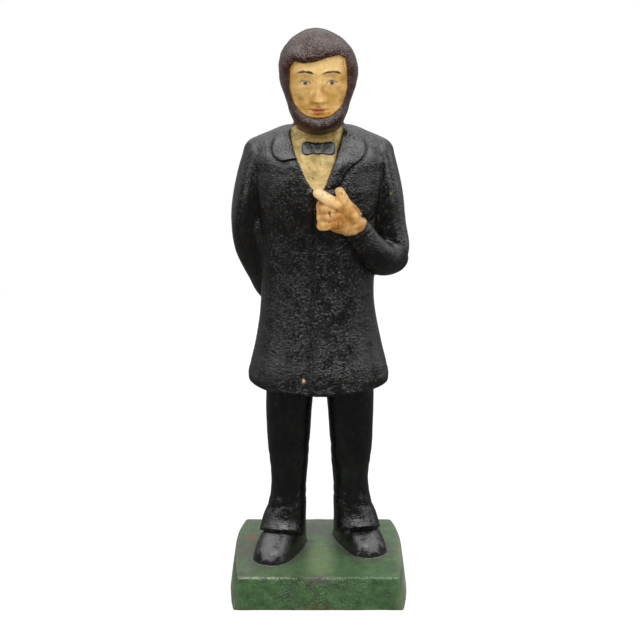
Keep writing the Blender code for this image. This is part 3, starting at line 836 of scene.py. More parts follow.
@dataclass(frozen=True)
class Shoes:
    """Both shoes, turned outwards about their ankles."""

    length: float = 46.5
    width: float = 21.0
    height: float = 15.0
    sink: float = 0.8
    right_toe_out: float = 20.0
    left_toe_out: float = 21.0
    ankle_share: float = 0.29
    hem_groove: float = 0.7
    fillet: float = 0.25

    def shoe(self, side: int) -> Form:
        """One shoe, lofted from its heel to its toe.

        Args:
            side: RIGHT or LEFT.

        Returns:
            The shoe.
        """
        # Place along the shoe from its heel, half width and height, as shares of its sizes
        shape = [
            (0.00, 0.22, 0.45), (0.06, 0.40, 0.85), (0.25, 0.55, 1.15), (0.46, 0.58, 1.34),
            (0.64, 0.56, 1.14), (0.82, 0.51, 0.78), (0.94, 0.37, 0.52), (1.00, 0.16, 0.27),
        ]
        turn = math.radians(self.right_toe_out if side == RIGHT else self.left_toe_out)
        ahead = np.array((side * math.sin(turn), -math.cos(turn)))
        across = np.array((-ahead[1], ahead[0]))
        ankle = np.array((STANCE.stand(side, STANCE.shoe_spread), STANCE.ankle_y(side)))
        heel = ankle - ahead * self.ankle_share * self.length
        halves = [(wide * self.width, tall * self.height) for _, wide, tall in shape]
        stops = np.linspace(0, 1, 45)
        sideways, upward = superellipse(2.4, 64)
        rings = []
        for place, (half_width, height) in zip(stops, hermite([s[0] for s in shape], halves, stops)):
            ring_xy = heel + ahead * place * self.length + np.outer(sideways * half_width, across)
            lift = np.where(upward > 0, height, 2.0) * upward
            rings.append(np.column_stack((ring_xy, LEVEL.plinth - self.sink + lift)))
        return skinned(rings)

    def forms(self) -> list[Form]:
        """Both shoes."""
        return [self.shoe(side) for side in (RIGHT, LEFT)]

    def carve(self, clay: Clay) -> None:
        """Cuts the line under the trouser hem and leaves a bead above it.

        Args:
            clay: The pattern's skin, which is moved.
        """
        leather = clay.territory[Region.SHOES]
        hem = rise(clay.territory[Region.TROUSERS] + 5, 2) * rise(clay.z - LEVEL.plinth - 7, 3)
        clay.swell(hem * (0.3 * bell(leather + 1.4, 1.3) - self.hem_groove * bell(leather - 0.5, 0.8)))
        foot = rise(1.6 - np.abs(clay.z - LEVEL.plinth - 0.6), 2.4) * clay.within(Region.SHOES, 2.5)
        clay.swell(self.fillet * foot)


# Coat


@dataclass(frozen=True)
class FrockCoat:
    """The long coat with its collar and lapels, and the shirt front between them."""

    hem_width: float = 81.2
    hem_depth: float = 59.0
    waist_width: float = 66.0
    waist_depth: float = 48.0
    chest_width: float = 70.0
    chest_depth: float = 51.0
    shoulder_width: float = 84.0
    shoulder_depth: float = 38.0
    shoulder_drop: float = 16.0
    collar_width: float = 33.0
    collar_depth: float = 25.0
    lean: float = 0.5
    chest_fill: float = 1.6
    fist_lift: float = 1.2
    lapel_raise: float = 2.8
    lapel_groove: float = 0.35
    shirt_recess: float = 1.6
    shirt_length: float = 31.5
    closing_edge: float = 0.9
    hem_bead: float = 0.3
    vent_step: float = 0.9

    def sections(self) -> list[Section]:
        """The coat from its hem to the foot of the collar.

        Returns:
            The coat's rings, upwards.
        """
        shoulder_z = LEVEL.collar - self.shoulder_drop
        middle_width = (self.hem_width + self.waist_width) / 2 - 0.8
        middle_depth = (self.hem_depth + self.waist_depth) / 2
        neck_width = (self.shoulder_width + self.collar_width) / 2 - 10
        # Height, width, depth, and the depth's shares ahead of and behind the parting plane
        rings = [
            (LEVEL.hem, self.hem_width - 11, self.hem_depth - 1.5, 0.49, 0.47),
            (LEVEL.hem + 1.8, self.hem_width - 3.2, self.hem_depth, 0.505, 0.48),
            (LEVEL.hem + 5.2, self.hem_width, self.hem_depth, 0.51, 0.485),
            (LEVEL.hem + 10, self.hem_width - 1.8, self.hem_depth - 0.5, 0.51, 0.485),
            ((LEVEL.hem + LEVEL.waist) / 2, middle_width, middle_depth, 0.51, 0.49),
            (LEVEL.waist, self.waist_width - 1, self.waist_depth, 0.51, 0.49),
            (LEVEL.waist + LEVEL.body * 0.45, self.chest_width, self.chest_depth, 0.495, 0.49),
            (shoulder_z - 11, self.shoulder_width - 10, self.chest_depth, 0.51, 0.5),
            (shoulder_z, self.shoulder_width - 12, self.shoulder_depth, 0.6, 0.53),
            (shoulder_z + 6.5, self.shoulder_width - 30, self.shoulder_depth, 0.44, 0.44),
            (LEVEL.collar - 6, neck_width - 14, self.shoulder_depth, 0.38, 0.38),
            (LEVEL.collar - 2, self.collar_width - 4.5, self.collar_depth, 0.48, 0.48),
            (LEVEL.collar + 3, self.collar_width - 6.5, self.collar_depth, 0.36, 0.45),
        ]
        return [
            Section(z, width / 2, depth * ahead, depth * behind, x=-self.lean * bell(z - LEVEL.waist, 20))
            for z, width, depth, ahead, behind in rings
        ]

    def reach(self, side: int, z: float) -> float:
        """How far the coat reaches to the front or back of the parting plane at a height.

        Args:
            side: FRONT or BACK.
            z: The height.

        Returns:
            The reach in millimetres.
        """
        sections = self.sections()
        reaches = [[s.front if side == FRONT else s.back] for s in sections]
        return float(hermite([s.z for s in sections], reaches, np.array([z]))[0, 0])

    def neck(self) -> Form:
        """The neck and the shirt collar round it."""
        half, depth = self.collar_width / 2, self.collar_depth
        return loft([
            Section(LEVEL.collar - 14, half, depth * 0.62, depth * 0.45),
            Section(LEVEL.collar - 4, half - 2.2, depth * 0.52, depth * 0.46),
            Section(LEVEL.collar + 3, half - 3.5, depth * 0.42, depth * 0.48),
            Section(LEVEL.chin + 16, half - 5, depth * 0.35, depth * 0.6),
        ])

    def yoke(self, side: int) -> Form:
        """One shoulder, which slopes from the neck to the top of the sleeve.

        Args:
            side: RIGHT or LEFT.

        Returns:
            The shoulder.
        """
        # Share of the way out, drop below the collar's foot, and half thickness up and along Y
        slope = [(0.2, 11.2, 9.0, 11.5), (0.38, 12.5, 10.0, 13.6), (0.58, 15.6, 9.8, 14.2),
                 (0.785, 18.6, 9.3, 11.0)]
        reach = self.shoulder_width / 2
        return limb([
            Knot(side * out * reach, 0.0, LEVEL.collar - drop, up, through)
            for out, drop, up, through in slope
        ])

    def forms(self) -> list[Form]:
        """The coat's body, its shoulders and the neck in it."""
        return [loft(self.sections(), 1.2, 120), self.yoke(RIGHT), self.yoke(LEFT), self.neck()]

    def shirt_outline(self) -> list[tuple[float, float]]:
        """The V of shirt between the lapels.

        Returns:
            Its corners in order.
        """
        foot = -self.shirt_length
        corners = [
            (-15.2, 6), (-14.9, -3), (-14.6, -7), (-12.8, -13.2), (-9.6, -20.4), (-6.7, -26.7),
            (-3.9, foot), (0.0, foot - 3.5), (3.4, foot), (5.6, -25.7), (7.9, -19.9),
            (10.2, -13.2), (12.3, -7.4), (14.0, -2.5), (15.2, 6),
        ]
        return [(x, LEVEL.collar + up) for x, up in corners]

    def lapel_outline(self, side: int) -> list[tuple[float, float]]:
        """A rounded lapel, from the side of the collar down the edge of the V.

        Args:
            side: RIGHT or LEFT.

        Returns:
            The points of the lapel's curve in order.
        """
        if side == RIGHT:
            corners = [
                (-14.6, 4.5), (-18.9, -1.5), (-22.7, -5.3), (-25.3, -9.1), (-26.0, -13.0),
                (-24.2, -16.3), (-19.9, -18.2), (-15.2, -17.2), (-11.4, -16.4), (-12.8, -13.2),
                (-14.7, -6.5), (-14.9, -1.7),
            ]
        else:
            corners = [
                (14.9, 4.5), (18.6, -1.5), (22.4, -5.3), (25.4, -9.1), (26.5, -12.5), (25.3, -15.8),
                (22.0, -18.4), (17.4, -21.5), (14.0, -26.0), (11.6, -30.5), (6.0, -32.0), (3.8, -30.6),
                (5.6, -25.7), (7.9, -19.9), (10.2, -13.2), (12.3, -7.4), (14.2, -2.0),
            ]
        return rounded([(x, LEVEL.collar + up) for x, up in corners], 4)

    def closing_x(self, z: np.ndarray) -> np.ndarray:
        """X of the coat's closing edge, which drifts sideways on its way down."""
        return -3.5 - 1.8 * (LEVEL.collar - 60 - z) / 90

    def carve(self, clay: Clay) -> None:
        """Works the chest, shirt, lapels, edges, collar, vent and folds.

        Args:
            clay: The pattern's skin, which is moved.
        """
        x, y, z = clay.x.copy(), clay.y.copy(), clay.z.copy()
        cloth = clay.within(Region.COAT, 0.8)
        full = rise(z - LEVEL.waist - 50, 26) * rise(LEVEL.collar - 8 - z, 21)
        clay.pull(self.chest_fill * full * rise(-y - 9, 12) * (1 - clay.within(Region.HEAD, 2.0)))
        clay.pull(self.fist_lift * clay.within(Region.FIST, 2.4))
        clay.pull(cloth * rise(-y - 6, 3) * self.chest_relief(x, z))
        clay.pull(cloth * self.closing_relief(x, y, z))
        bottom = bell(z - LEVEL.hem - 1.9 - 0.03 * np.abs(x), 0.8)
        clay.swell(cloth * self.hem_bead * bottom)
        clay.swell(cloth * self.collar_relief(x, y, z))
        clay.swell(cloth * self.back_relief(x, y, z))
        reach = rise(LEVEL.waist + 20 - z, 30)
        sweep = x * math.cos(0.25) + z * math.sin(0.25) * np.sign(x)
        wave = np.sin(sweep / 5.2 + 1.3 * lumps(clay.points, 26, 5))
        clay.swell(cloth * reach * 0.22 * wave * rise(np.abs(y) - 8, 8))

    def chest_relief(self, x: np.ndarray, z: np.ndarray) -> np.ndarray:
        """How far the lapels stand out, the shirt lies back and the line round them sinks.

        Args:
            x: Places across.
            z: Heights.

        Returns:
            Millimetres outwards, negative for inwards.
        """
        shirt_edge = inside(x, z, self.shirt_outline())
        shirt = rise(shirt_edge, 0.9) * rise(LEVEL.collar - 1.5 - z, 4.0)
        lobes = np.maximum(*(inside(x, z, self.lapel_outline(side)) for side in (RIGHT, LEFT)))
        wedge = np.clip(1.15 - (z - LEVEL.collar + 18) / 30, 0.35, 1.15)
        lapel = wedge * (0.8 * rise(lobes - 0.3, 1.5) + 0.2 * rise(lobes - 1.5, 5))
        lapel *= 1 - rise(shirt_edge, 0.8)
        groove = bell(lobes + 1.2, 1.6) * (1 - rise(shirt_edge + 1.5, 1.5)) * rise(z - LEVEL.collar + 36, 4)
        return self.lapel_raise * lapel - self.shirt_recess * shirt - self.lapel_groove * groove

    def closing_relief(self, x: np.ndarray, y: np.ndarray, z: np.ndarray) -> np.ndarray:
        """The coat's edge, which laps over its other side below the shirt.

        Args:
            x: Places across.
            y: Places along Y.
            z: Heights.

        Returns:
            Millimetres outwards, negative for inwards.
        """
        below = rise(-self.shirt_length + LEVEL.collar - 2 - z, 3.0) * rise(-y - 12, 5)
        edge = x - self.closing_x(z)
        ridge = bell(edge + 1.4, 1.8) - bell(edge - 0.9, 1.1) + 0.5 * rise(edge - 2.2, 3)
        side_seam = self.chest_width / 2 - 4
        return below * self.closing_edge * ridge * rise(side_seam - x, 9)

    def collar_relief(self, x: np.ndarray, y: np.ndarray, z: np.ndarray) -> np.ndarray:
        """The collar round the nape, with the fold at its foot.

        Args:
            x: Places across.
            y: Places along Y.
            z: Heights.

        Returns:
            Millimetres outwards, negative for inwards.
        """
        nape = np.hypot(x / 1.22, y - 1.0)
        behind = rise(y - 10, 7) * rise(z - LEVEL.collar + 20, 3)
        return behind * (1.5 * rise(17.6 - nape, 1.1) - 0.4 * bell(nape - 18.4, 0.8))

    def back_relief(self, x: np.ndarray, y: np.ndarray, z: np.ndarray) -> np.ndarray:
        """The back's middle and curved seams, and the vent below the waist.

        Args:
            x: Places across.
            y: Places along Y.
            z: Heights.

        Returns:
            Millimetres outwards, negative for inwards.
        """
        seam = bell(x, 0.45) * rise(LEVEL.collar - 14 - z, 3) * rise(z - LEVEL.waist + 6, 3)
        vent = rise(x - 0.3, 0.7) * rise(9 - x, 10) * rise(LEVEL.waist - 6 - z, 3)
        slit = bell(x + 0.2, 0.6) * rise(LEVEL.waist - 6 - z, 3)
        curved = [s * (9.5 + 7.5 * ((z - LEVEL.waist) / 70) ** 2) for s in (RIGHT, LEFT)]
        panels = sum(bell(x - line, 0.5) for line in curved)
        panels *= rise(LEVEL.collar - 36 - z, 4) * rise(z - LEVEL.waist + 4, 3)
        return rise(y - 10, 4) * (self.vent_step * vent - 0.5 * slit - 0.3 * seam - 0.28 * panels)


COAT = FrockCoat()


@dataclass(frozen=True)
class Sleeve:
    """One sleeve, from the shoulder to its cuff on the coat's front or back."""

    side: int
    width: float = 20.5
    drop: float = 21.0
    cuff_width: float = 16.0
    elbow_spread: float = 83.0
    fold_depth: float = 0.3

    def knots(self) -> list[Knot]:
        """The axis of the sleeve.

        Returns:
            The axis from shoulder to wrist.
        """
        # How far in from the reach of the elbow, share of the wrist's depth, drop below the
        # sleeve's top, and shares of the sleeve's or, in the last row, the cuff's half width
        right = [
            (8.6, 0.0, -2.4, 0.9, 1.1), (4.0, 0.0, 20, 1.0, 1.15), (2.4, 0.05, 37, 1.0, 1.15),
            (4.3, 0.18, 52, 1.0, 1.15), (9.8, 0.45, 67, 0.94, 1.0), (16.6, 0.78, 81, 0.9, 0.85),
            (28.0, 1.0, 83, 1.0, 0.9),
        ]
        left = [
            (8.6, 0.0, -2.4, 0.9, 1.1), (4.4, 0.0, 20, 1.0, 1.15), (2.4, 0.04, 38, 1.0, 1.1),
            (0.6, 0.16, 52, 1.0, 1.0), (5.0, 0.49, 55, 1.0, 0.8), (12.5, 0.82, 47, 0.88, 0.75),
            (20.5, 1.0, 35, 1.0, 0.8),
        ]
        axis = right if self.side == RIGHT else left
        facing = BACK if self.side == RIGHT else FRONT
        top = LEVEL.collar - self.drop
        wrist_y = facing * (COAT.reach(facing, top - axis[-1][2]) - 1.2)
        knots = []
        for row in axis:
            inward, depth, drop, across, through = row
            half = (self.cuff_width if row is axis[-1] else self.width) / 2
            x = self.side * (self.elbow_spread / 2 - inward)
            knots.append(Knot(x, depth * wrist_y, top - drop, across * half, through * half))
        return knots

    def web(self) -> Form:
        """Iron that fills the gap between sleeve and coat, so that the sand can part.

        Returns:
            The web, half sunk in the coat.
        """
        knots = self.knots()
        if self.side == LEFT:
            elbow = knots[3]
            return ball(
                (elbow.x - 4.0, -2, elbow.z - 5.2),
                (self.width / 2 + 3.9, self.width / 2, self.width * 0.52),
            )
        # How far inwards of the sleeve, its depth and its half thickness across and along Y
        behind = [(3.0, 2.0, 6.0, 8.0), (6.0, 1.0, 8.0, 12.0), (7.8, 1.0, 8.0, 13.0), (7.2, 4.0, 8.0, 13.0)]
        return limb([
            Knot(knot.x + inward, depth, knot.z, across, through)
            for knot, (inward, depth, across, through) in zip(knots[1:5], behind)
        ])

    def forms(self) -> list[Form]:
        """The sleeve and its web."""
        return [limb(self.knots()), self.web()]

    def carve(self, clay: Clay) -> None:
        """Presses folds in at the elbow and raises the edge of the cuff.

        Args:
            clay: The pattern's skin, which is moved.
        """
        cloth = clay.within(Region.COAT, 1.0)
        knots = self.knots()
        centres = np.array([(k.x, k.y, k.z) for k in knots])
        lengths = np.concatenate(([0], np.cumsum(np.linalg.norm(np.diff(centres, axis=0), axis=1))))
        fine = hermite(lengths, centres, np.linspace(0, lengths[-1], 80))
        low, high = fine.min(axis=0) - 14, fine.max(axis=0) + 14
        near = np.nonzero(np.all((clay.points > low) & (clay.points < high), axis=1))[0]
        offsets = clay.points[near, None, :] - fine[None, :, :]
        gaps = np.linalg.norm(offsets, axis=2)
        closest = gaps.argmin(axis=1)
        along = closest / 79 * lengths[-1]
        around = rise(self.width / 2 + 3 - gaps.min(axis=1), 3)
        elbow = lengths[3]
        folds = sum(
            strength * bell(along - elbow - place, wide)
            for place, strength, wide in ((-9, 0.5, 2.0), (-3.5, 0.9, 1.7), (3, 1.0, 1.8), (9, 0.6, 2.2))
        )
        bend = clay.points[near] - centres[3]
        inner = rise(-self.side * bend[:, 0] + 3, 8)
        amount = np.zeros(len(clay.points))
        amount[near] = -self.fold_depth * folds * around * inner
        cuff = bell(along - lengths[-1] + 1.0, 1.3) - 0.8 * bell(along - lengths[-1] + 3.6, 0.9)
        amount[near] += 0.35 * cuff * around
        clay.swell(amount * cloth)


# Hands, given as offsets from the wrist


def finger(points: Sequence[Sequence[float]], width: float, shares: Sequence[float]) -> Form:
    """A finger through three points.

    Args:
        points: Its root, middle joint and tip.
        width: Its full width.
        shares: Its width at each point as a share.

    Returns:
        The finger.
    """
    knots = [Knot(*point, width / 2 * s, width / 2 * s) for point, s in zip(points, shares)]
    return limb(knots, 0.8, 28)


@dataclass(frozen=True)
class Fist:
    """The left hand, which holds the edge of the coat."""

    length: float = 25.0
    finger_width: float = 6.0

    @property
    def top(self) -> float:
        """The height of the fingertips."""
        return self.at(0, 0, 23.4)[2]

    def at(self, inward: float, out: float, up: float) -> tuple[float, float, float]:
        """A point of the hand, from the wrist.

        Args:
            inward: How far it lies towards the figure's middle.
            out: How far it lies away from the coat.
            up: How far it lies above the wrist.

        Returns:
            The point in the frame.
        """
        wrist = Sleeve(LEFT).knots()[-1]
        reach = self.length / 25
        return (wrist.x - inward * reach, wrist.y - out, wrist.z + 2.5 + up)

    def forms(self) -> list[Form]:
        """The palm, three folded fingers, the forefinger and the thumb.

        Returns:
            The hand's forms, which fuse into one.
        """
        at = self.at
        palm = [(at(0.5, 2, 0), 6, 5), (at(8.5, 4.5, 5), 8.6, 5.2), (at(14, 5.5, 7.5), 7.4, 4.8)]
        forms = [limb([Knot(*place, across, through) for place, across, through in palm])]
        for drop in np.arange(3) * self.finger_width * 0.74:
            folded = [at(10.5, 8.0, 12.3 - drop), at(16.5, 8.6, 11.3 - drop), at(19, 6.6, 10.6 - drop)]
            forms.append(finger(folded, self.finger_width, (1.0, 1.0, 1.0)))
        pointing = [at(6.5, 8.0, 12), at(14.5, 10.0, 16.3), at(21.3, 8.8, 20.4)]
        forms.append(finger(pointing, self.finger_width, (1.15, 1.1, 0.95)))
        thumb = [at(2.0, 6.5, 6.0), at(5.8, 9.2, 14.2), at(9.6, 9.6, 21.4)]
        forms.append(finger(thumb, self.finger_width, (1.15, 1.0, 0.85)))
        return forms


@dataclass(frozen=True)
class OpenHand:
    """The right hand, which lies open on the small of the back."""

    length: float = 25.0
    finger_width: float = 6.0

    def at(self, inward: float, out: float, up: float) -> tuple[float, float, float]:
        """A point of the hand, from the wrist.

        Args:
            inward: How far it lies towards the figure's middle.
            out: How far it lies away from the coat.
            up: How far it lies above the wrist.

        Returns:
            The point in the frame.
        """
        wrist = Sleeve(RIGHT).knots()[-1]
        reach = self.length / 25
        return (wrist.x + inward * reach, wrist.y + out, wrist.z - 0.5 + up)

    def forms(self) -> list[Form]:
        """The palm and four straight fingers.

        Returns:
            The hand's forms, which fuse into one.
        """
        at = self.at
        palm = [(at(1, 0.5, 0), 6.4, 4.6), (at(8, 2.5, -1.5), 8.6, 4.4), (at(14, 3, -2.5), 8.4, 4)]
        forms = [limb([Knot(*place, across, through) for place, across, through in palm])]
        for i in range(4):
            spread = (i - 1.5) * self.finger_width * 0.82
            tip = 25.5 - abs(i - 1.6)
            straight = [at(13, 4, spread - 2.5), at(21, 4, spread - 4), at(tip, 2.5, spread - 5.5)]
            forms.append(finger(straight, self.finger_width, (1.0, 1.0, 0.9)))
        return forms


# Bow tie


@dataclass(frozen=True)
class BowTie:
    """A small bow tie, cast as a flat band with rounded ends and a square knot."""

    half_width: float = 9.0
    half_height: float = 2.8
    drop: float = 12.0
    lift: float = 1.3
    knot_half: float = 2.1
    knot_lift: float = 0.9
    knot_pinch: float = 0.7

    def edge(self, x: np.ndarray, z: np.ndarray) -> np.ndarray:
        """Signed distance to the band's edge, positive on the band.

        Args:
            x: Places across.
            z: Heights.

        Returns:
            Distances in millimetres.
        """
        # Shares of the half width and half height, from the right end round the underside
        shape = [(1.0, 0.0), (0.95, -0.75), (0.72, -1.03), (0.3, -0.8), (0.0, -0.84), (-0.3, -0.8),
                 (-0.72, -1.03), (-0.95, -0.75), (-1.0, 0.0), (-0.95, 0.75), (-0.72, 1.0),
                 (-0.3, 0.8), (0.0, 0.88), (0.3, 0.8), (0.72, 1.0), (0.95, 0.75)]
        corners = [(wide * self.half_width, tall * self.half_height) for wide, tall in shape]
        return inside(x, z - LEVEL.collar + self.drop, rounded(corners, 4))

    def carve(self, clay: Clay) -> None:
        """Raises the band and its knot from the shirt.

        Args:
            clay: The pattern's skin, which is moved.
        """
        x, up = clay.x, clay.z - LEVEL.collar + self.drop
        edge = self.edge(clay.x, clay.z)
        band = 0.75 * rise(edge - 0.1, 1.0) + 0.25 * rise(edge - 1.2, 3.2)
        knot = rise(self.knot_half - np.maximum(np.abs(x + 0.4), np.abs(up) * 0.95), 1.0)
        pinch = bell(np.abs(x + 0.4) - self.knot_half - 0.8, 0.6) * rise(edge - 0.6, 1.0)
        raised = self.lift * band + self.knot_lift * knot - self.knot_pinch * pinch
        clay.pull(rise(-clay.y - 6, 3) * raised)


# Head


@dataclass(frozen=True)
class Feature:
    """A smooth rise on the face, or a hollow where its height is negative.

    Its place and half width across are shares of the face's width. Its place
    and half height up from the eyes are shares of the height from chin to eyes.
    """

    across: float
    up: float
    wide: float
    tall: float
    height: float


@dataclass(frozen=True)
class Head:
    """The head with its hair and chin-curtain beard, and a calm, even face."""

    width: float = 43.6
    depth: float = 46.0
    face_width: float = 31.0
    hair_thickness: float = 2.6
    fringe_raise: float = 3.3
    beard_raise: float = 3.2
    nose_length: float = 5.2
    crown_shift: float = 1.2
    lock_depth: float = 0.16

    def features(self) -> list[Feature]:
        """The face's rises and hollows, alike on both sides."""
        # Brow, eye socket, eyeball, lids above and below, nostril wing and hole, cheek, groove
        # under the nose, upper lip, lower lip, the line between them and its corners
        rows = [
            (0.235, 0.205, 0.160, 0.062, 1.2),
            (0.235, 0.035, 0.135, 0.105, -2.3),
            (0.235, 0.005, 0.088, 0.062, 1.5),
            (0.235, 0.085, 0.115, 0.024, 0.5),
            (0.235, -0.085, 0.100, 0.026, 0.3),
            (0.094, -0.335, 0.044, 0.050, 1.5),
            (0.055, -0.385, 0.020, 0.022, -0.9),
            (0.330, -0.220, 0.140, 0.160, 0.7),
            (0.000, -0.430, 0.022, 0.045, -0.35),
            (0.000, -0.497, 0.135, 0.034, 1.0),
            (0.000, -0.585, 0.112, 0.038, 1.15),
            (0.000, -0.540, 0.150, 0.013, -1.0),
            (0.160, -0.540, 0.030, 0.030, -0.4),
        ]
        return [Feature(*row) for row in rows]

    def sections(self) -> list[Section]:
        """The head as one ovoid.

        Returns:
            The head's rings, upwards.
        """
        # Height above the chin, half width, front and back, as shares of the head's sizes
        shape = [
            (-0.030, 0.30, 0.56, 0.30), (0.012, 0.50, 0.76, 0.46), (0.050, 0.60, 0.84, 0.54),
            (0.110, 0.67, 0.88, 0.64), (0.190, 0.75, 0.90, 0.74), (0.270, 0.81, 0.88, 0.84),
            (0.350, 0.88, 0.87, 0.93), (0.430, 0.95, 0.875, 0.99), (0.510, 0.99, 0.89, 1.03),
            (0.590, 1.00, 0.91, 1.04), (0.670, 0.985, 0.93, 1.02), (0.750, 0.925, 0.92, 0.95),
            (0.830, 0.795, 0.81, 0.82), (0.910, 0.590, 0.60, 0.61), (0.975, 0.29, 0.31, 0.31),
            (1.000, 0.09, 0.10, 0.10),
        ]
        across, along = self.width / 2, self.depth / 2
        return [
            Section(LEVEL.chin + up * LEVEL.head, wide * across, ahead * along, behind * along,
                    x=-self.crown_shift * max(0.0, up - 0.6) / 0.4)
            for up, wide, ahead, behind in shape
        ]

    def forms(self) -> list[Form]:
        """The head."""
        return [loft(self.sections(), 0.8, 110)]

    def face_outline(self) -> list[tuple[float, float]]:
        """The edge of the hair and beard round the face, with the fringe swept to one side.

        Returns:
            Its points in order, round the beard first.
        """
        half = self.face_width / 2
        low = LEVEL.chin + LEVEL.head * 0.165
        points = []
        for a in np.radians(np.linspace(-180, 0, 25)):
            across = math.copysign(abs(math.cos(a)) ** 0.87, math.cos(a))
            points.append((half * across, LEVEL.eyes - (LEVEL.eyes - low) * abs(math.sin(a)) ** 0.87))
        fringe = [
            (0.98, 8), (0.93, 13.2), (0.72, 15.2), (0.3, 14.0), (-0.1, 11.9), (-0.5, 10.9),
            (-0.85, 11.6), (-0.98, 8),
        ]
        return points + [(half * share, LEVEL.eyes + up) for share, up in fringe]

    def nose(self, x: np.ndarray, z: np.ndarray) -> np.ndarray:
        """The nose's height over the face, standing out further towards its tip.

        Args:
            x: Places across.
            z: Heights.

        Returns:
            Heights in millimetres.
        """
        root = LEVEL.eyes + 5
        tip = LEVEL.eyes - (LEVEL.eyes - LEVEL.chin) * 0.36
        down = np.clip((root - z) / (root - tip), 0, 1)
        ridge = np.exp(-((x / (1.9 + 1.2 * down)) ** 2))
        length = rise(root - z, 4) * rise(z - tip + 0.6, 1.8)
        return (1.0 + (self.nose_length - 1.0) * down**1.4) * ridge * length

    def carve(self, clay: Clay) -> None:
        """Sinks the face inside the hair, models it, and works the hair into locks.

        Args:
            clay: The pattern's skin, which is moved.
        """
        x, y, z = clay.x.copy(), clay.y.copy(), clay.z.copy()
        head = clay.within(Region.HEAD, 1.0)
        ahead = head * rise(-y - 4, 3)
        edge = inside(x, z, self.face_outline())
        face = rise(edge, 1.4)
        upper = rise(z - LEVEL.eyes - 6, 6)
        fringe = bell(edge + 4.2, 3.2) * (1 - face)
        curtain = bell(edge + 4.6, 4.2) * (1 - face)
        relief = self.nose(x, z)
        span = LEVEL.eyes - LEVEL.chin
        for feature in self.features():
            off_x = (np.abs(x) - feature.across * self.face_width) / (feature.wide * self.face_width)
            off_z = (z - LEVEL.eyes - feature.up * span) / (feature.tall * span)
            relief += feature.height * np.exp(-(off_x**2) - off_z**2)
        low = rise(LEVEL.eyes - 14 - z, 8)
        outward = self.fringe_raise * fringe * upper + self.beard_raise * curtain * low
        outward += (relief - self.hair_thickness) * face
        clay.pull(ahead * outward)
        hair = head * (1 - ahead * face)
        swept = z * 0.92 + x * 0.38 + 0.25 * y
        warp = 4.5 * lumps(clay.points, 12, 21) + 1.2 * lumps(clay.points, 5, 22)
        locks = np.sin((swept + warp) * 2 * math.pi / 6.5) * 0.35 + 0.8 * lumps(clay.points, 3.1, 23)
        strands = np.where(z > LEVEL.eyes - 4, 1.0, 0.6)
        clay.swell(hair * self.lock_depth * locks * strands)

    def paint(self, x: np.ndarray, z: np.ndarray) -> dict[str, np.ndarray]:
        """Where the face, brows, eyes and lips are painted.

        Args:
            x: Places across the face.
            z: Heights.

        Returns:
            Signed distances in millimetres by the name of each paint.
        """
        aside = np.abs(x) - 0.235 * self.face_width
        up = z - LEVEL.eyes
        span = LEVEL.eyes - LEVEL.chin
        brow_line = 0.235 * span - 0.055 * aside**2
        brow = 0.62 * rise(4.6 - np.abs(aside), 2.5) - np.abs(up - brow_line)
        upper_lid = 1.15 - 0.115 * aside**2
        lower_lid = -0.95 + 0.085 * aside**2
        eye = np.minimum(upper_lid - up, up - lower_lid)
        iris = np.minimum(1.15 - np.hypot(aside, up - 0.15), eye)
        lash = np.where(np.abs(aside) < 3.3, 0.3 - np.abs(up - upper_lid - 0.1), -1.0)
        line = -0.54 * span
        lips_top = line + 0.06 * span * np.sqrt(np.clip(1 - (x / 4.2) ** 2, 0, 1))
        lips_foot = line - 0.068 * span * np.sqrt(np.clip(1 - (x / 3.5) ** 2, 0, 1))
        lips = np.minimum(np.minimum(lips_top - up, up - lips_foot), 4.0 - np.abs(x))
        return {
            "flesh": inside(x, z, self.face_outline()),
            "eye_white": eye,
            "liner": np.maximum(np.maximum(brow, iris), lash),
            "lips": lips,
        }


HEAD = Head()


# Pattern and castings


@dataclass(frozen=True)
class Mark:
    """A mark on the paint, of wear, stain, dirt, painted light or painted shade by its kind: its centre and
    reach in millimetres.
    """

    centre: tuple[float, float, float]
    reach: tuple[float, float, float]
    strength: float

    def field(self, points: np.ndarray) -> np.ndarray:
        """How strong the mark is at each point."""
        off = (points - np.array(self.centre)) / np.array(self.reach)
        return self.strength * np.exp(-(off**2).sum(axis=1))


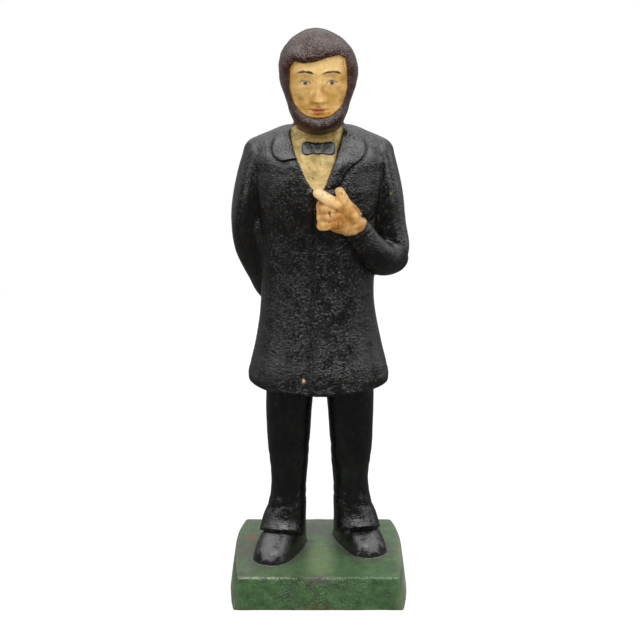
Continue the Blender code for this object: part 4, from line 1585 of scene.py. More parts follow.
MARKS = {
    "rust": (
        Mark((0.0, -42.5, 0.0), (70.0, 2.5, 1.5), 0.5),
        Mark((-40.5, 13.0, 21.0), (3.5, 5.0, 4.0), 0.9),
        Mark((-8.3, -30.0, 136.4), (1.5, 8.0, 1.5), 1.2),
        Mark((-43.0, -42.0, 3.0), (6.0, 2.0, 3.0), 0.25),
    ),
    # Darker patches on the plinth top beside, between and behind the feet and along its back: soot together
    # with painted shade from the figure
    "soot_and_shade": (
        Mark((-38.0, -4.0, 21.0), (20.0, 38.0, 5.0), 0.9),
        Mark((38.0, 16.0, 21.0), (18.0, 20.0, 5.0), 0.35),
        Mark((0.0, 44.0, 21.0), (60.0, 10.0, 5.0), 0.4),
        Mark((1.0, 25.0, 21.0), (15.0, 13.0, 5.0), 0.9),
        Mark((1.5, -42.0, 20.5), (10.0, 2.6, 2.0), 1.3),
    ),
    # A lighter grey-green band on the plinth top in front of the feet: painted light
    "painted_plinth_light": (
        Mark((1.0, -14.0, 21.0), (8.5, 30.0, 5.0), 1.6),
    ),
    "pale": (
        Mark((-31.0, -42.0, 21.0), (22.0, 1.4, 1.2), 1.2),
        Mark((36.0, -42.0, 21.0), (14.0, 1.2, 1.0), 0.7),
        Mark((-49.5, -42.0, 6.0), (1.4, 1.6, 9.0), 0.9),
        Mark((49.5, -42.0, 10.0), (1.2, 1.6, 10.0), 0.6),
        Mark((-8.3, -30.0, 136.7), (0.8, 8.0, 0.8), 2.6),
    ),
    "scuff": (
        Mark((40.0, -8.0, 241.0), (0.9, 9.0, 1.5), 1.0),
    ),
    # Paler grey-green on the plinth's two sides is a painted reflection of the white surroundings; the
    # strips along the back and front are dust
    "dust_and_reflection": (
        Mark((54.0, 0.0, 10.0), (5.5, 70.0, 18.0), 2.2),
        Mark((-54.0, 0.0, 11.0), (5.0, 70.0, 16.0), 1.4),
        Mark((0.0, 44.0, 21.0), (70.0, 16.0, 6.0), 0.5),
        Mark((0.0, -42.5, 9.0), (60.0, 2.0, 12.0), 0.12),
    ),
    # More ochre stain on the lower face, on the shirt just under the beard and low on the fist: staining
    # together with painted shade below the face and the beard
    "ochre_and_shade": (
        Mark((0.0, -26.0, LEVEL.eyes - 14.0), (24.0, 20.0, 12.0), 1.4),
        Mark((0.0, -20.0, LEVEL.collar - 5.0), (17.0, 20.0, 10.0), 0.6),
        Mark((13.0, -38.0, 229.0), (7.0, 10.0, 8.0), 1.2),
    ),
    # Lighter, less stained paint on the forehead, the lower shirt and the tip of the forefinger: painted
    # light where they face the lamps
    "painted_light": (
        Mark((1.0, -26.0, LEVEL.eyes + 9.0), (13.0, 20.0, 5.0), 1.0),
        Mark((1.0, -30.0, LEVEL.collar - 28.0), (10.0, 20.0, 9.0), 0.5),
        Mark((3.0, -38.0, LEVEL.collar - 33.0), (7.0, 12.0, 5.0), 1.0),
    ),
}


@dataclass(frozen=True)
class Pattern:
    """The whole figure as a foundry pattern, fused to one skin and then carved."""

    grain: float = 0.45
    smoothing: int = 3
    rounding: int = 60
    unevenness: float = 0.13
    triangles: int = 400000

    def regions(self) -> dict[Region, list[Form]]:
        """The forms that the figure is made of, by region."""
        sleeves = Sleeve(RIGHT).forms() + Sleeve(LEFT).forms()
        return {
            Region.HEAD: HEAD.forms(),
            Region.FIST: Fist().forms(),
            Region.OPEN_HAND: OpenHand().forms(),
            Region.COAT: COAT.forms() + sleeves,
            Region.TROUSERS: Trousers().forms(),
            Region.SHOES: Shoes().forms() + [Trousers().ankle(side) for side in (RIGHT, LEFT)],
            Region.PLINTH: Plinth().forms(),
        }

    def build(self) -> bpy.types.Object:
        """Fuses the forms, carves every part of the dress and face, and thins the mesh.

        Returns:
            The figure on its plinth as one closed mesh.
        """
        regions = self.regions()
        figure = mesh_object("pattern", [form for forms in regions.values() for form in forms])
        fuse = figure.modifiers.new("fuse", "REMESH")
        fuse.mode = "VOXEL"
        fuse.voxel_size = self.grain * MM
        soften = figure.modifiers.new("soften", "SMOOTH")
        soften.factor = 0.5
        soften.iterations = self.smoothing
        applied(figure)
        clay = Clay(figure, regions)
        log.info("pattern fused: %d points", len(clay.points))
        cloth = [clay.territory[r] for r in (Region.COAT, Region.TROUSERS, Region.SHOES)]
        clay.relax(rise(np.max(cloth, axis=0) - 0.6, 1.5), self.rounding)
        low, high = (np.array(corner) / MM for corner in CAD_BOX)
        free = 1 - clay.within(Region.HEAD) * rise(-clay.y - 4, 3)
        clay.swell(self.unevenness * free * (lumps(clay.points, 11, 1) + 0.4 * lumps(clay.points, 4, 2)))
        for part in (COAT, BowTie(), HEAD, Sleeve(RIGHT), Sleeve(LEFT), Trousers(), Shoes()):
            part.carve(clay)
        clay.points = np.clip(clay.points, low + 0.01, high - 0.01)
        clay.write()
        thin = figure.modifiers.new("thin", "DECIMATE")
        thin.ratio = min(1.0, self.triangles / (2 * len(figure.data.polygons)))
        thin.use_collapse_triangulate = True
        return applied(figure)


def curvature(mesh: bpy.types.Mesh, points: np.ndarray, normals: np.ndarray) -> np.ndarray:
    """How sharply the skin bends at each point, smoothed.

    Args:
        mesh: The mesh.
        points: Its points in millimetres.
        normals: Their normals.

    Returns:
        Bend in 1/mm, positive on edges and negative in creases.
    """
    a, b = column(mesh.edges, "vertices", 2, np.int32).T
    count = len(points)
    span = points[b] - points[a]
    length = np.maximum(np.linalg.norm(span, axis=1), 1e-3)
    bend_a = -(span * normals[a]).sum(axis=1) / length**2
    bend_b = (span * normals[b]).sum(axis=1) / length**2
    ties = np.bincount(a, minlength=count) + np.bincount(b, minlength=count) + 1e-6
    bend = (np.bincount(a, bend_a, count) + np.bincount(b, bend_b, count)) / ties
    for _ in range(4):
        spread = np.bincount(a, bend[b], count) + np.bincount(b, bend[a], count)
        bend = 0.5 * bend + 0.5 * spread / ties
    return bend


@dataclass(frozen=True)
class Core:
    """The hollow of coat, neck and head, left solid round the screws."""

    wall: float = 5.0
    boss_diameter: float = 13.0
    upper_screw_rise: float = 58.0
    lower_screw_drop: float = 20.0

    def screw_heights(self) -> dict[str, float]:
        """Height of each screw."""
        low, high = LEVEL.waist - self.lower_screw_drop, LEVEL.waist + self.upper_screw_rise
        return {"lower_screw": low, "upper_screw": high}

    def body(self) -> Form:
        """The hollow, a wall's thickness inside the skin.

        Returns:
            The hollow as one closed surface.
        """
        wall = self.wall
        sections = COAT.sections()
        hem = sections[2]
        floor = LEVEL.hem + wall + 4
        levels = [Section(floor, hem.half_width - wall - 2, hem.front - wall - 1, hem.back - wall - 1)]
        levels += [
            Section(s.z, s.half_width - wall, s.front - wall, s.back - wall)
            for s in sections
            if floor < s.z < LEVEL.collar - 12
        ]
        neck = COAT.collar_width / 2 - wall - 1
        head = HEAD.width / 2 - wall
        levels += [
            Section(LEVEL.collar - 10, neck + 9, 8, 8),
            Section(LEVEL.collar - 3, neck, 5.5, 6.5),
            Section(LEVEL.chin + 14, neck, 5.5, 8),
            Section(LEVEL.eyes + 4, head - 1, HEAD.depth * 0.4 - wall, HEAD.depth * 0.5 - wall),
            Section(LEVEL.crown - wall - 7, head * 0.75, HEAD.depth * 0.22, HEAD.depth * 0.3),
            Section(LEVEL.crown - wall - 1, head * 0.3, HEAD.depth * 0.09, HEAD.depth * 0.12),
        ]
        return loft(levels, 4.0, 48)

    def build(self) -> bpy.types.Object:
        """The cores of body and plinth as one object of closed surfaces.

        Returns:
            The object, to be cut out of the figure.
        """
        hollow = mesh_object("core", [self.body()])
        for z in self.screw_heights().values():
            radius = self.boss_diameter / 2
            boss = mesh_object("boss", [turned([(0, radius), (120, radius)], -60, z, 48)])
            combine(hollow, "DIFFERENCE", boss)
        pocket = mesh_object("pocket", [Plinth().pocket()])
        combine(hollow, "UNION", pocket)
        return hollow


CORE = Core()


def settle(piece: bpy.types.Object, finish: bpy.types.Material, node: str, slot: str) -> None:
    """Gives a piece its finish and its place in the frame.

    Args:
        piece: The visible piece.
        finish: Its material.
        node: The CAD node that it shows.
        slot: The material slot; not used.
    """
    piece.data.materials.clear()
    piece.data.materials.append(finish)
    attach(piece, "root")
    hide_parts(node)


@dataclass(frozen=True)
class SlottedScrew:
    """A countersunk machine screw that pulls the front half on from behind."""

    name: str
    slot: str = "screw_steel"
    diameter: float = 4.8
    length: float = 38.0
    point: float = 0.8
    head_diameter: float = 9.4
    head_rim: float = 0.4
    head_sink: float = 0.8
    slot_width: float = 1.2
    slot_depth: float = 1.1
    slot_turn: float = 35.0
    clearance: float = 0.3

    @property
    def z(self) -> float:
        """The screw's height."""
        return CORE.screw_heights()[self.name]

    @property
    def top(self) -> float:
        """Y of the head's face, sunk below the coat's back."""
        return COAT.reach(BACK, self.z) - self.head_sink

    def profile(self, clearance: float = 0.0) -> list[tuple[float, float]]:
        """Steps of (distance from the tip, radius), with clearance all round.

        Args:
            clearance: Room left round the screw.

        Returns:
            The steps from tip to head.
        """
        shank = self.diameter / 2 + clearance
        head = self.head_diameter / 2 + clearance
        taper = (self.head_diameter - self.diameter) / 2
        return [
            (-clearance, shank - self.point),
            (self.point, shank),
            (self.length - taper, shank),
            (self.length - self.head_rim, head),
            (self.length, head),
        ]

    def hole(self) -> bpy.types.Object:
        """The hole that the screw sits in, open to the back.

        Returns:
            The hole's object, to be cut out of the figure.
        """
        steps = self.profile(self.clearance)
        steps.append((self.length + 12, steps[-1][1] + 0.6))
        return mesh_object("screw_hole", [turned(steps, self.top - self.length, self.z, 64)])

    def build(self) -> bpy.types.Object:
        """The screw, with its slot and a small round on the head's rim.

        Returns:
            The screw's object.
        """
        steps = self.profile()
        head = steps[-1][1]
        steps[-1:] = [(self.length - 0.12, head), (self.length, head - 0.14)]
        screw = mesh_object(f"{self.name}_steel", [turned(steps, self.top - self.length, self.z, 96)])
        reach = self.head_diameter
        half = self.slot_width / 2
        cutter = block((-reach, self.top - self.slot_depth, -half), (reach, self.top + 2, half))
        turn = math.radians(self.slot_turn)
        x, y, z = cutter.points.T
        turned_points = np.column_stack(
            (x * math.cos(turn) - z * math.sin(turn), y, self.z + x * math.sin(turn) + z * math.cos(turn))
        )
        combine(screw, "DIFFERENCE", mesh_object("slot", [Form(turned_points, cutter.faces)]))
        bevel = screw.modifiers.new("worn edges", "BEVEL")
        bevel.width = 0.08 * MM
        bevel.segments = 2
        bevel.limit_method = "ANGLE"
        bevel.angle_limit = math.radians(40)
        applied(screw)
        return screw

    def dress(self, screw: bpy.types.Object, finish: bpy.types.Material) -> None:
        """Gives the screw its finish and its place in the frame."""
        settle(screw, finish, self.name, self.slot)


# The sand's half width, half depth and height, past the figure on all sides
MOULD = (90.0, 80.0, 360.0)
# How far under the skin a point may lie before it counts as bare iron, and where the search ends
PAINT_DEPTH = 0.8
SKIN_REACH = 3.0
# Face, shirt and tie are painted only this far ahead of the parting plane
PAINTED_FRONT = 5.0
FIELD_LIMIT = 4.0


@dataclass(frozen=True)
class HalfCasting:
    """One half of the doorstop, cut from the pattern at the parting plane."""

    name: str
    node: str
    slot: str
    side: int

    def build(self, figure: bpy.types.Object) -> bpy.types.Object:
        """Cuts this half out of the hollow figure.

        Args:
            figure: The whole hollow figure.

        Returns:
            The half casting.
        """
        obj = linked(self.name, figure.data.copy())
        wide, deep, tall = MOULD
        near, far = (-deep, 0.0) if self.side == FRONT else (0.0, deep)
        combine(obj, "INTERSECT", mesh_object("sand", [block((-wide, near, -10), (wide, far, tall))]))
        obj.data.shade_smooth()
        obj.data.set_sharp_from_angle(angle=math.radians(60))
        return obj

    def brush(self, obj: bpy.types.Object, skin: BVHTree, regions: dict[Region, list[Form]]) -> None:
        """Writes where each paint, worn place and stain, and the painted light and shade, lie into the
        mesh.

        Args:
            obj: The half casting.
            skin: The figure's outer skin, in millimetres.
            regions: The forms of each region.
        """
        clay = Clay(obj, regions)
        x, y, z = clay.points.T
        land = clay.territory
        fields: dict[str, np.ndarray] = {"hair": land[Region.HEAD]}
        ahead = -y - PAINTED_FRONT
        for name, distance in HEAD.paint(x, z).items():
            fields[name] = np.minimum(np.minimum(distance, land[Region.HEAD]), ahead)
        shirt = inside(x, z, COAT.shirt_outline())
        clear = np.minimum(ahead, -np.maximum(land[Region.HEAD], land[Region.FIST]))
        fields["shirt"] = np.minimum(shirt, clear)
        bow = np.minimum(BowTie().edge(x, z), ahead)
        fields["bow_rim"], fields["bow"] = bow + 0.45, bow - 0.75
        # A pale line along the V's edge on the figure's right side only: painted highlight on the step,
        # partly a paint edge
        v_edge_paint_and_highlight = 0.5 - np.abs(shirt - 0.2)
        fields["v_edge_paint_and_highlight"] = np.minimum(np.minimum(v_edge_paint_and_highlight, -x - 2), clear)
        cut = Fist().top - 1.8 * rise(x - 4, 2) + 3.0 * rise(-y - 31, 2)
        fist = np.minimum(land[Region.FIST], cut - z)
        fields["hand"] = np.maximum(fist, land[Region.OPEN_HAND])
        for region in (Region.TROUSERS, Region.SHOES, Region.PLINTH):
            fields[region.value] = land[region]
        hits = [skin.find_nearest(point, SKIN_REACH)[3] for point in clay.points]
        depth = np.array([SKIN_REACH if hit is None else hit for hit in hits])
        fields["iron"] = 2 * (depth - PAINT_DEPTH)
        bend = curvature(obj.data, clay.points, clay.normals)
        bend = np.where(depth > 0.5, 0, bend)
        fields["edge"] = np.clip(bend, 0, 2)
        fields["edge"] *= rise(np.abs(y) - 1.5, 1.5)
        # Inward bend, which darkens the paint in creases as painted shade together with dirt, at under half
        # strength on the face
        fields["hollow"] = np.clip(-bend, 0, 2) * np.where(fields["flesh"] > 0, 0.45, 1.0)
        fields["coarse"] = self.sand(clay.points, land)
        # Nearness to the shoes, where the plinth top is darkened: painted shade round the feet
        fields["near_shoe"] = np.clip(1 - np.maximum(-land[Region.SHOES], 0) / 8, 0, 1)
        for kind, marks in MARKS.items():
            fields[kind] = sum(mark.field(clay.points) for mark in marks)
        for name, values in fields.items():
            layer = obj.data.attributes.new(name, "FLOAT", "POINT")
            layer.data.foreach_set("value", np.clip(values, -FIELD_LIMIT, FIELD_LIMIT).astype(np.float32))

    def sand(self, points: np.ndarray, land: dict[Region, np.ndarray]) -> np.ndarray:
        """How coarse the sand was, most on the coat's front and the trousers' flares.

        Args:
            points: Points in millimetres.
            land: How far each point lies inside each region.

        Returns:
            Coarseness from 0 to 1.
        """
        x, y, z = points.T
        front = rise(-y - 8, 14)
        skirt = rise(30 - np.abs(x), 22) * rise(LEVEL.waist + 50 - z, 60)
        chest = 0.5 * rise(z - LEVEL.waist - 30, 40) * rise(36 - np.abs(x), 14)
        arms = np.where(np.abs(x) > 31, 0.3, 1.0) * (z > LEVEL.waist - 5) + (z <= LEVEL.waist - 5)
        coat = np.clip(0.28 + 0.72 * np.maximum(skirt, chest) * front * arms, 0, 1)
        flare = bell(z - LEVEL.plinth - 15, 14) * rise(-y + 4, 8)
        crown = rise(z - LEVEL.eyes - 10, 8) * rise(-y - 6, 8)
        values = np.where(land[Region.TROUSERS] > 0, 0.3 + 1.1 * flare, coat)
        values = np.where(land[Region.SHOES] > 0, 0.5, values)
        return np.where(land[Region.HEAD] > 0, 0.35 + 0.65 * crown, values)

    def dress(self, obj: bpy.types.Object, finish: bpy.types.Material) -> None:
        """Gives the casting its finish and its place in the frame."""
        settle(obj, finish, self.node, self.slot)


# Finishes

Put = Callable[..., bpy.types.Node]


def linear(colour: str) -> tuple[float, float, float, float]:
    """Turns an sRGB hex colour to linear.

    Args:
        colour: The colour as #rrggbb.

    Returns:
        Linear red, green and blue, and an alpha of 1.
    """
    shares = [int(colour[i : i + 2], 16) / 255 for i in (1, 3, 5)]
    rgb = [s / 12.92 if s <= 0.04045 else ((s + 0.055) / 1.055) ** 2.4 for s in shares]
    return (rgb[0], rgb[1], rgb[2], 1.0)


def empty_tree(owner: bpy.types.ID) -> Put:
    """Clears the node tree of a material or world, and gives what adds a node to it.

    Args:
        owner: The material or world.

    Returns:
        The function add, bound to that tree.
    """
    owner.use_nodes = True
    owner.node_tree.nodes.clear()
    return partial(add, owner.node_tree)


NOISE, MATH, RANGE = "ShaderNodeTexNoise", "ShaderNodeMath", "ShaderNodeMapRange"
MIX, FIELD, SHADER = "ShaderNodeMix", "ShaderNodeAttribute", "ShaderNodeBsdfPrincipled"


def add(
    tree: bpy.types.NodeTree,
    kind: str,
    inputs: dict[str | int, Any] | None = None,
    **settings: Any,
) -> bpy.types.Node:
    """Adds one node with its settings and links.

    Args:
        tree: The node tree.
        kind: The node's type.
        inputs: By socket name or number, a value, an output, or a node whose first output is meant.
        settings: Properties of the node.

    Returns:
        The node.
    """
    node = tree.nodes.new(kind)
    for name, value in settings.items():
        setattr(node, name, value)
    for socket, value in (inputs or {}).items():
        if isinstance(value, bpy.types.Node):
            value = next(output for output in value.outputs if output.enabled)
        if isinstance(value, bpy.types.NodeSocket):
            tree.links.new(value, node.inputs[socket])
        else:
            node.inputs[socket].default_value = value
    return node


@dataclass(frozen=True)
class Enamel:
    """One brushed colour: its tones, how rough and grainy it dries, and how it has aged."""

    field: str
    colour: str
    stain: str
    worn: str
    roughness: float
    grain: float
    stained: float
    pitted: float
    rubbed: float

    def values(self) -> list[tuple[float, float, float, float]]:
        """All of it as five colours, which the material mixes from paint to paint.

        Returns:
            Paint, stain and worn colour, how it dried and how it aged.
        """
        dried = (self.roughness, self.grain, self.stained, 1.0)
        aged = (self.pitted, self.rubbed, 0.0, 1.0)
        return [linear(self.colour), linear(self.stain), linear(self.worn), dried, aged]


COAT_BLACK = Enamel("", "#100f0e", "#1d1b18", "#6a6863", 0.24, 0.05, 0.25, 0.0, 0.35)
ENAMELS = (
    # Thick glossy brown over the hair, purplish where the light catches it
    Enamel("hair", "#431f0e", "#280d06", "#856a60", 0.22, 0.12, 0.3, 0.0, 0.3),
    # Cream face and shirt, gone ochre with handling and chipped down to dark iron
    Enamel("flesh", "#ebc278", "#b68530", "#ffd992", 0.38, 0.02, 0.3, 0.03, 0.3),
    Enamel("shirt", "#e4c57e", "#8a7430", "#ecd090", 0.45, 0.05, 0.5, 0.14, 0.3),
    # Pale line on one edge of the V: painted highlight, partly a paint edge
    Enamel("v_edge_paint_and_highlight", "#dccb98", "#b39c5a", "#efe4c0", 0.45, 0.05, 0.3, 0.0, 0.3),
    Enamel("eye_white", "#cdb98a", "#a08850", "#e6d7a8", 0.4, 0.02, 0.1, 0.0, 0.0),
    Enamel("liner", "#2b1c14", "#1c120c", "#4a3a2c", 0.4, 0.02, 0.1, 0.0, 0.0),
    Enamel("lips", "#bf7a46", "#9a5a30", "#d39d6c", 0.4, 0.02, 0.1, 0.0, 0.0),
    # Slate bow tie inside a dark rim along its edge
    Enamel("bow_rim", "#151516", "#101010", "#3c3e40", 0.35, 0.05, 0.2, 0.0, 0.3),
    Enamel("bow", "#2c2c2b", "#222221", "#9a9c9c", 0.3, 0.03, 0.3, 0.0, 0.5),
    # Flesh colour on the hands, worn orange-brown and pitted
    Enamel("hand", "#f4c47c", "#b0752a", "#ffdca4", 0.42, 0.03, 0.5, 0.36, 0.3),
    # Trousers and shoes in a smoother, fuller black
    Enamel("trousers", "#0e0d0d", "#171513", "#4d4b48", 0.23, 0.035, 0.2, 0.0, 0.25),
    Enamel("shoes", "#191817", "#232120", "#6b6865", 0.26, 0.022, 0.1, 0.0, 0.35),
    # Green plinth, dusty with age
    Enamel("plinth", "#557d4b", "#35522d", "#b9c2a2", 0.42, 0.09, 0.6, 0.2, 0.5),
    # Bare iron inside the casting
    Enamel("iron", "#4a3b31", "#6b3f22", "#5c4d40", 0.75, 0.12, 0.5, 0.0, 0.0),
)


@dataclass(frozen=True)
class SandCastEnamel:
    """Brushed oil enamel over sand-cast iron.

    The sand leaves grains of half a millimetre to one in the iron. Enamel
    fills them a little, so that black cloth glints in specks under a soft lamp.
    """

    name: str = "brushed_enamel_on_sand_cast_iron"
    ior: float = 1.52
    sand_size: float = 0.8
    grain_size: float = 1.5
    pit_size: float = 1.7
    drift_size: float = 9.0
    stain_size: float = 6.0
    cloud_size: float = 24.0
    wobble_size: float = 2.2
    brush_wobble: float = 0.5
    paint_edge: float = 0.28
    relief: float = 4.0
    seam_width: float = 0.25
    rust: str = "#8a4a24"
    # Colour of dust, also used as painted reflection on the plinth's sides
    dust_and_reflection: str = "#a8a592"
    # Colour of soot, also used as painted shade on the plinth top
    soot_and_shade: str = "#55544c"
    # Colour of the painted light on the plinth top
    painted_plinth_light: str = "#859c6b"
    pale: str = "#d3d6bf"
    scuff: str = "#8d8f45"
    pit: str = "#26170e"
    # The colour that creases darken towards: painted shade and dirt
    crease_shade_and_grime: str = "#8a7c70"

    def noises(self, put: Put, at: bpy.types.Node) -> dict[str, bpy.types.Node]:
        """Every pattern by name, each scaled from a real size.

        Args:
            put: Adds a node.
            at: Places in millimetres.

        Returns:
            The patterns.
        """
        noises = {
            name: put(NOISE, {"Vector": at, "Scale": 1 / size, "Detail": detail, "Roughness": rough})
            for name, size, detail, rough in (
                ("grain", self.grain_size, 1.0, 0.5),
                ("stains", self.stain_size, 5.0, 0.6),
                ("drifts", self.drift_size, 2.0, 0.5),
                ("clouds", self.cloud_size, 2.0, 0.5),
                ("specks", self.pit_size, 3.0, 0.5),
                ("wobble", self.wobble_size, 2.0, 0.5),
            )
        }
        cells = {"Vector": at, "Scale": 1 / self.sand_size, "Smoothness": 0.5}
        cells = put("ShaderNodeTexVoronoi", cells, feature="SMOOTH_F1")
        noises["sand"] = put(RANGE, {0: cells, 1: 0.75, 2: 0.1})
        return noises

    def paints(self, put: Put, wobble: bpy.types.Node) -> list[Any]:
        """Lays each paint over the last, with an edge that a brush left uneven.

        Args:
            put: Adds a node.
            wobble: The noise that shifts the edges.

        Returns:
            What Enamel.values holds, mixed over the whole figure.
        """
        wobble = put(MATH, {0: wobble, 1: 2 * self.brush_wobble, 2: -self.brush_wobble},
                     operation="MULTIPLY_ADD")
        paint: list[Any] = COAT_BLACK.values()
        for enamel in ENAMELS:
            own = put(FIELD, attribute_name=enamel.field).outputs["Fac"]
            distance = put(MATH, {0: own, 1: wobble}, operation="ADD")
            share = put(RANGE, {0: distance, 1: -self.paint_edge, 2: self.paint_edge})
            paint = [
                put(MIX, {0: share, 6: under, 7: over}, data_type="RGBA").outputs[2]
                for under, over in zip(paint, enamel.values())
            ]
        return paint

    def brushed(
        self, put: Put, noise: dict[str, Any], field: dict[str, Any], paint: list[Any], stained: Any
    ) -> bpy.types.NodeSocket:
        """The paint's colour, mixed with its stain's colour and brushed unevenly.

        Args:
            put: Adds a node.
            noise: The patterns by name.
            field: The mesh's fields by name.
            paint: The paint's colour and its stain's.
            stained: How stained it is.

        Returns:
            The mixed colour.
        """
        blotch = noise["stains"]
        # Ochre marks add stain, partly as painted shade; the lighter marks take stain away as painted light
        for share, weight in ((stained, 0.34), (field["ochre_and_shade"], 0.12), (field["painted_light"], -0.12)):
            blotch = put(MATH, {0: share, 1: weight, 2: blotch}, operation="MULTIPLY_ADD")
        blotch = put(RANGE, {0: blotch, 1: 0.52, 2: 0.8})
        colour = put(MIX, {0: blotch, 6: paint[0], 7: paint[1]}, data_type="RGBA").outputs[2]
        broad = put(RANGE, {0: noise["clouds"], 1: 0.3, 2: 0.7, 3: 0.88, 4: 1.1})
        close = put(RANGE, {0: noise["grain"], 1: 0.3, 2: 0.7, 3: 0.8, 4: 1.18})
        tone = put(MATH, {0: broad, 1: close}, operation="MULTIPLY")
        tone = put("ShaderNodeCombineColor", {0: tone, 1: tone, 2: tone})
        mixed = {0: 1.0, 6: colour, 7: tone}
        return put(MIX, mixed, data_type="RGBA", blend_type="MULTIPLY").outputs[2]

    def wear(self, put: Put, noise: dict[str, Any], field: dict[str, Any]) -> dict[str, Any]:
        """The shares of the plinth's lighter band, its darker patches, its paler sides, rust, pale chips
        and scuffs, each by its kind; the band is painted light, the patches painted shade with dirt, the
        sides painted reflection, partly dusty.

        Args:
            put: Adds a node.
            noise: The patterns by name.
            field: The mesh's fields by name.

        Returns:
            The shares, from 0 to 1.
        """
        on_plinth = put(RANGE, {0: field["plinth"], 1: -0.2, 2: 0.4})
        # A lighter band on the plinth top, painted light
        lit_share = put(RANGE, {0: field["painted_plinth_light"], 1: 0.15, 2: 1.2, 3: 0.0, 4: 0.7})
        # Darker plinth paint round the shoes and in the soot marks: painted shade, partly soot
        shade_round_shoes = put(RANGE, {0: noise["stains"], 1: 0.2, 2: 0.55})
        shade_round_shoes = put(MATH, {0: field["near_shoe"], 1: shade_round_shoes}, operation="MULTIPLY")
        soot_and_shade_share = put(MATH, {0: shade_round_shoes, 1: field["soot_and_shade"]}, operation="MAXIMUM")
        soot_and_shade_share = put(MATH, {0: soot_and_shade_share, 1: on_plinth}, operation="MULTIPLY")
        soot_and_shade_share = put(MATH, {0: noise["stains"], 1: 0.4, 2: soot_and_shade_share}, operation="MULTIPLY_ADD")
        shares = {
            "painted_plinth_light": put(MATH, {0: lit_share, 1: on_plinth}, operation="MULTIPLY"),
            "soot_and_shade": put(RANGE, {0: soot_and_shade_share, 1: 0.3, 2: 1.15, 3: 0.0, 4: 0.85}),
        }
        dry = put(RANGE, {0: noise["stains"], 1: 0.3, 2: 0.65, 3: 0.35, 4: 1.0})
        specked = put(RANGE, {0: noise["specks"], 1: 0.25, 2: 0.6})
        patchy = put(RANGE, {0: noise["grain"], 1: 0.25, 2: 0.65, 3: 0.3, 4: 1.2})
        for kind, spread, low, high, most in (
            ("dust_and_reflection", dry, 0.05, 1.1, 0.8),
            ("rust", specked, 0.15, 0.8, 0.85),
            ("pale", patchy, 0.3, 1.1, 0.85),
            ("scuff", patchy, 0.3, 0.9, 0.8),
        ):
            strength = put(MATH, {0: field[kind], 1: spread}, operation="MULTIPLY")
            shares[kind] = put(RANGE, {0: strength, 1: low, 2: high, 3: 0.0, 4: most})
        return shares

    def sand_height(self, put: Put, noise: dict[str, Any], coarse: Any, grainy: Any) -> bpy.types.Node:
        """How high the sand's grains stand through the paint, in drifts.

        Args:
            put: Adds a node.
            noise: The patterns by name.
            coarse: How coarse the sand was.
            grainy: How much of it shows.

        Returns:
            The height, as a share of the relief.
        """
        height = put(RANGE, {0: coarse, 1: 0.0, 2: 1.0, 3: 0.3, 4: 1.25})
        drifts = put(RANGE, {0: noise["drifts"], 1: 0.35, 2: 0.65, 3: 0.45, 4: 1.5})
        uneven = put(RANGE, {0: noise["grain"], 1: 0.3, 2: 0.7, 3: 0.3, 4: 1.6})
        for share in (grainy, drifts, uneven, noise["sand"]):
            height = put(MATH, {0: height, 1: share}, operation="MULTIPLY")
        return height

    def build(self) -> bpy.types.Material:
        """Makes the material.

        Returns:
            The material.
        """
        material = bpy.data.materials.new(self.name)
        put = empty_tree(material)
        place = put("ShaderNodeTexCoord").outputs["Object"]
        at = put("ShaderNodeVectorMath", {0: place, 3: 1 / MM}, operation="SCALE")
        noise = self.noises(put, at)
        field = {
            name: put(FIELD, attribute_name=name).outputs["Fac"]
            for name in ("near_shoe", "plinth", "edge", "hollow", "coarse", *MARKS)
        }
        *paint, worn, dried, aged = self.paints(put, noise["wobble"])
        roughness, grainy, stained = put("ShaderNodeSeparateColor", {0: dried}).outputs
        pitted, rubbed, _ = put("ShaderNodeSeparateColor", {0: aged}).outputs
        colour = self.brushed(put, noise, field, paint, stained)

        # Paint rubbed thin on edges, and the worn colour on the tips of coarse sand grains: painted glints,
        # partly rubbed paint
        worn_edge = put(MATH, {0: field["edge"], 1: rubbed}, operation="MULTIPLY")
        uneven = put(RANGE, {0: noise["stains"], 1: 0.3, 2: 0.7, 3: 0.3, 4: 1.4})
        worn_edge = put(MATH, {0: worn_edge, 1: uneven}, operation="MULTIPLY")
        worn_edge = put(RANGE, {0: worn_edge, 1: 0.06, 2: 0.5, 3: 0.0, 4: 0.8})
        # Lighter specks on the grain tips stand in for glints of light: painted highlights
        glinting_tips = put(RANGE, {0: noise["grain"], 1: 0.6, 2: 0.78, 3: 0.0, 4: 0.18})
        glinting_tips = put(MATH, {0: glinting_tips, 1: field["coarse"]}, operation="MULTIPLY")
        thin = put(MATH, {0: worn_edge, 1: glinting_tips}, operation="MAXIMUM")
        # Lighter worn colour where the lighter marks lie on flesh, shirt and hands: painted light
        bright = put(RANGE, {0: pitted, 1: 0.0, 2: 0.03, 3: 0.0, 4: 0.7})
        bright = put(MATH, {0: field["painted_light"], 1: bright}, operation="MULTIPLY")
        shares = self.wear(put, noise, field)
        tints = [(shares[kind], linear(getattr(self, kind))) for kind in ("painted_plinth_light", "dust_and_reflection", "soot_and_shade", "rust")]
        tints += [(thin, worn), (bright, worn)]
        tints += [(shares[kind], linear(getattr(self, kind))) for kind in ("pale", "scuff")]
        for share, tint in tints:
            colour = put(MIX, {0: share, 6: colour, 7: tint}, data_type="RGBA").outputs[2]

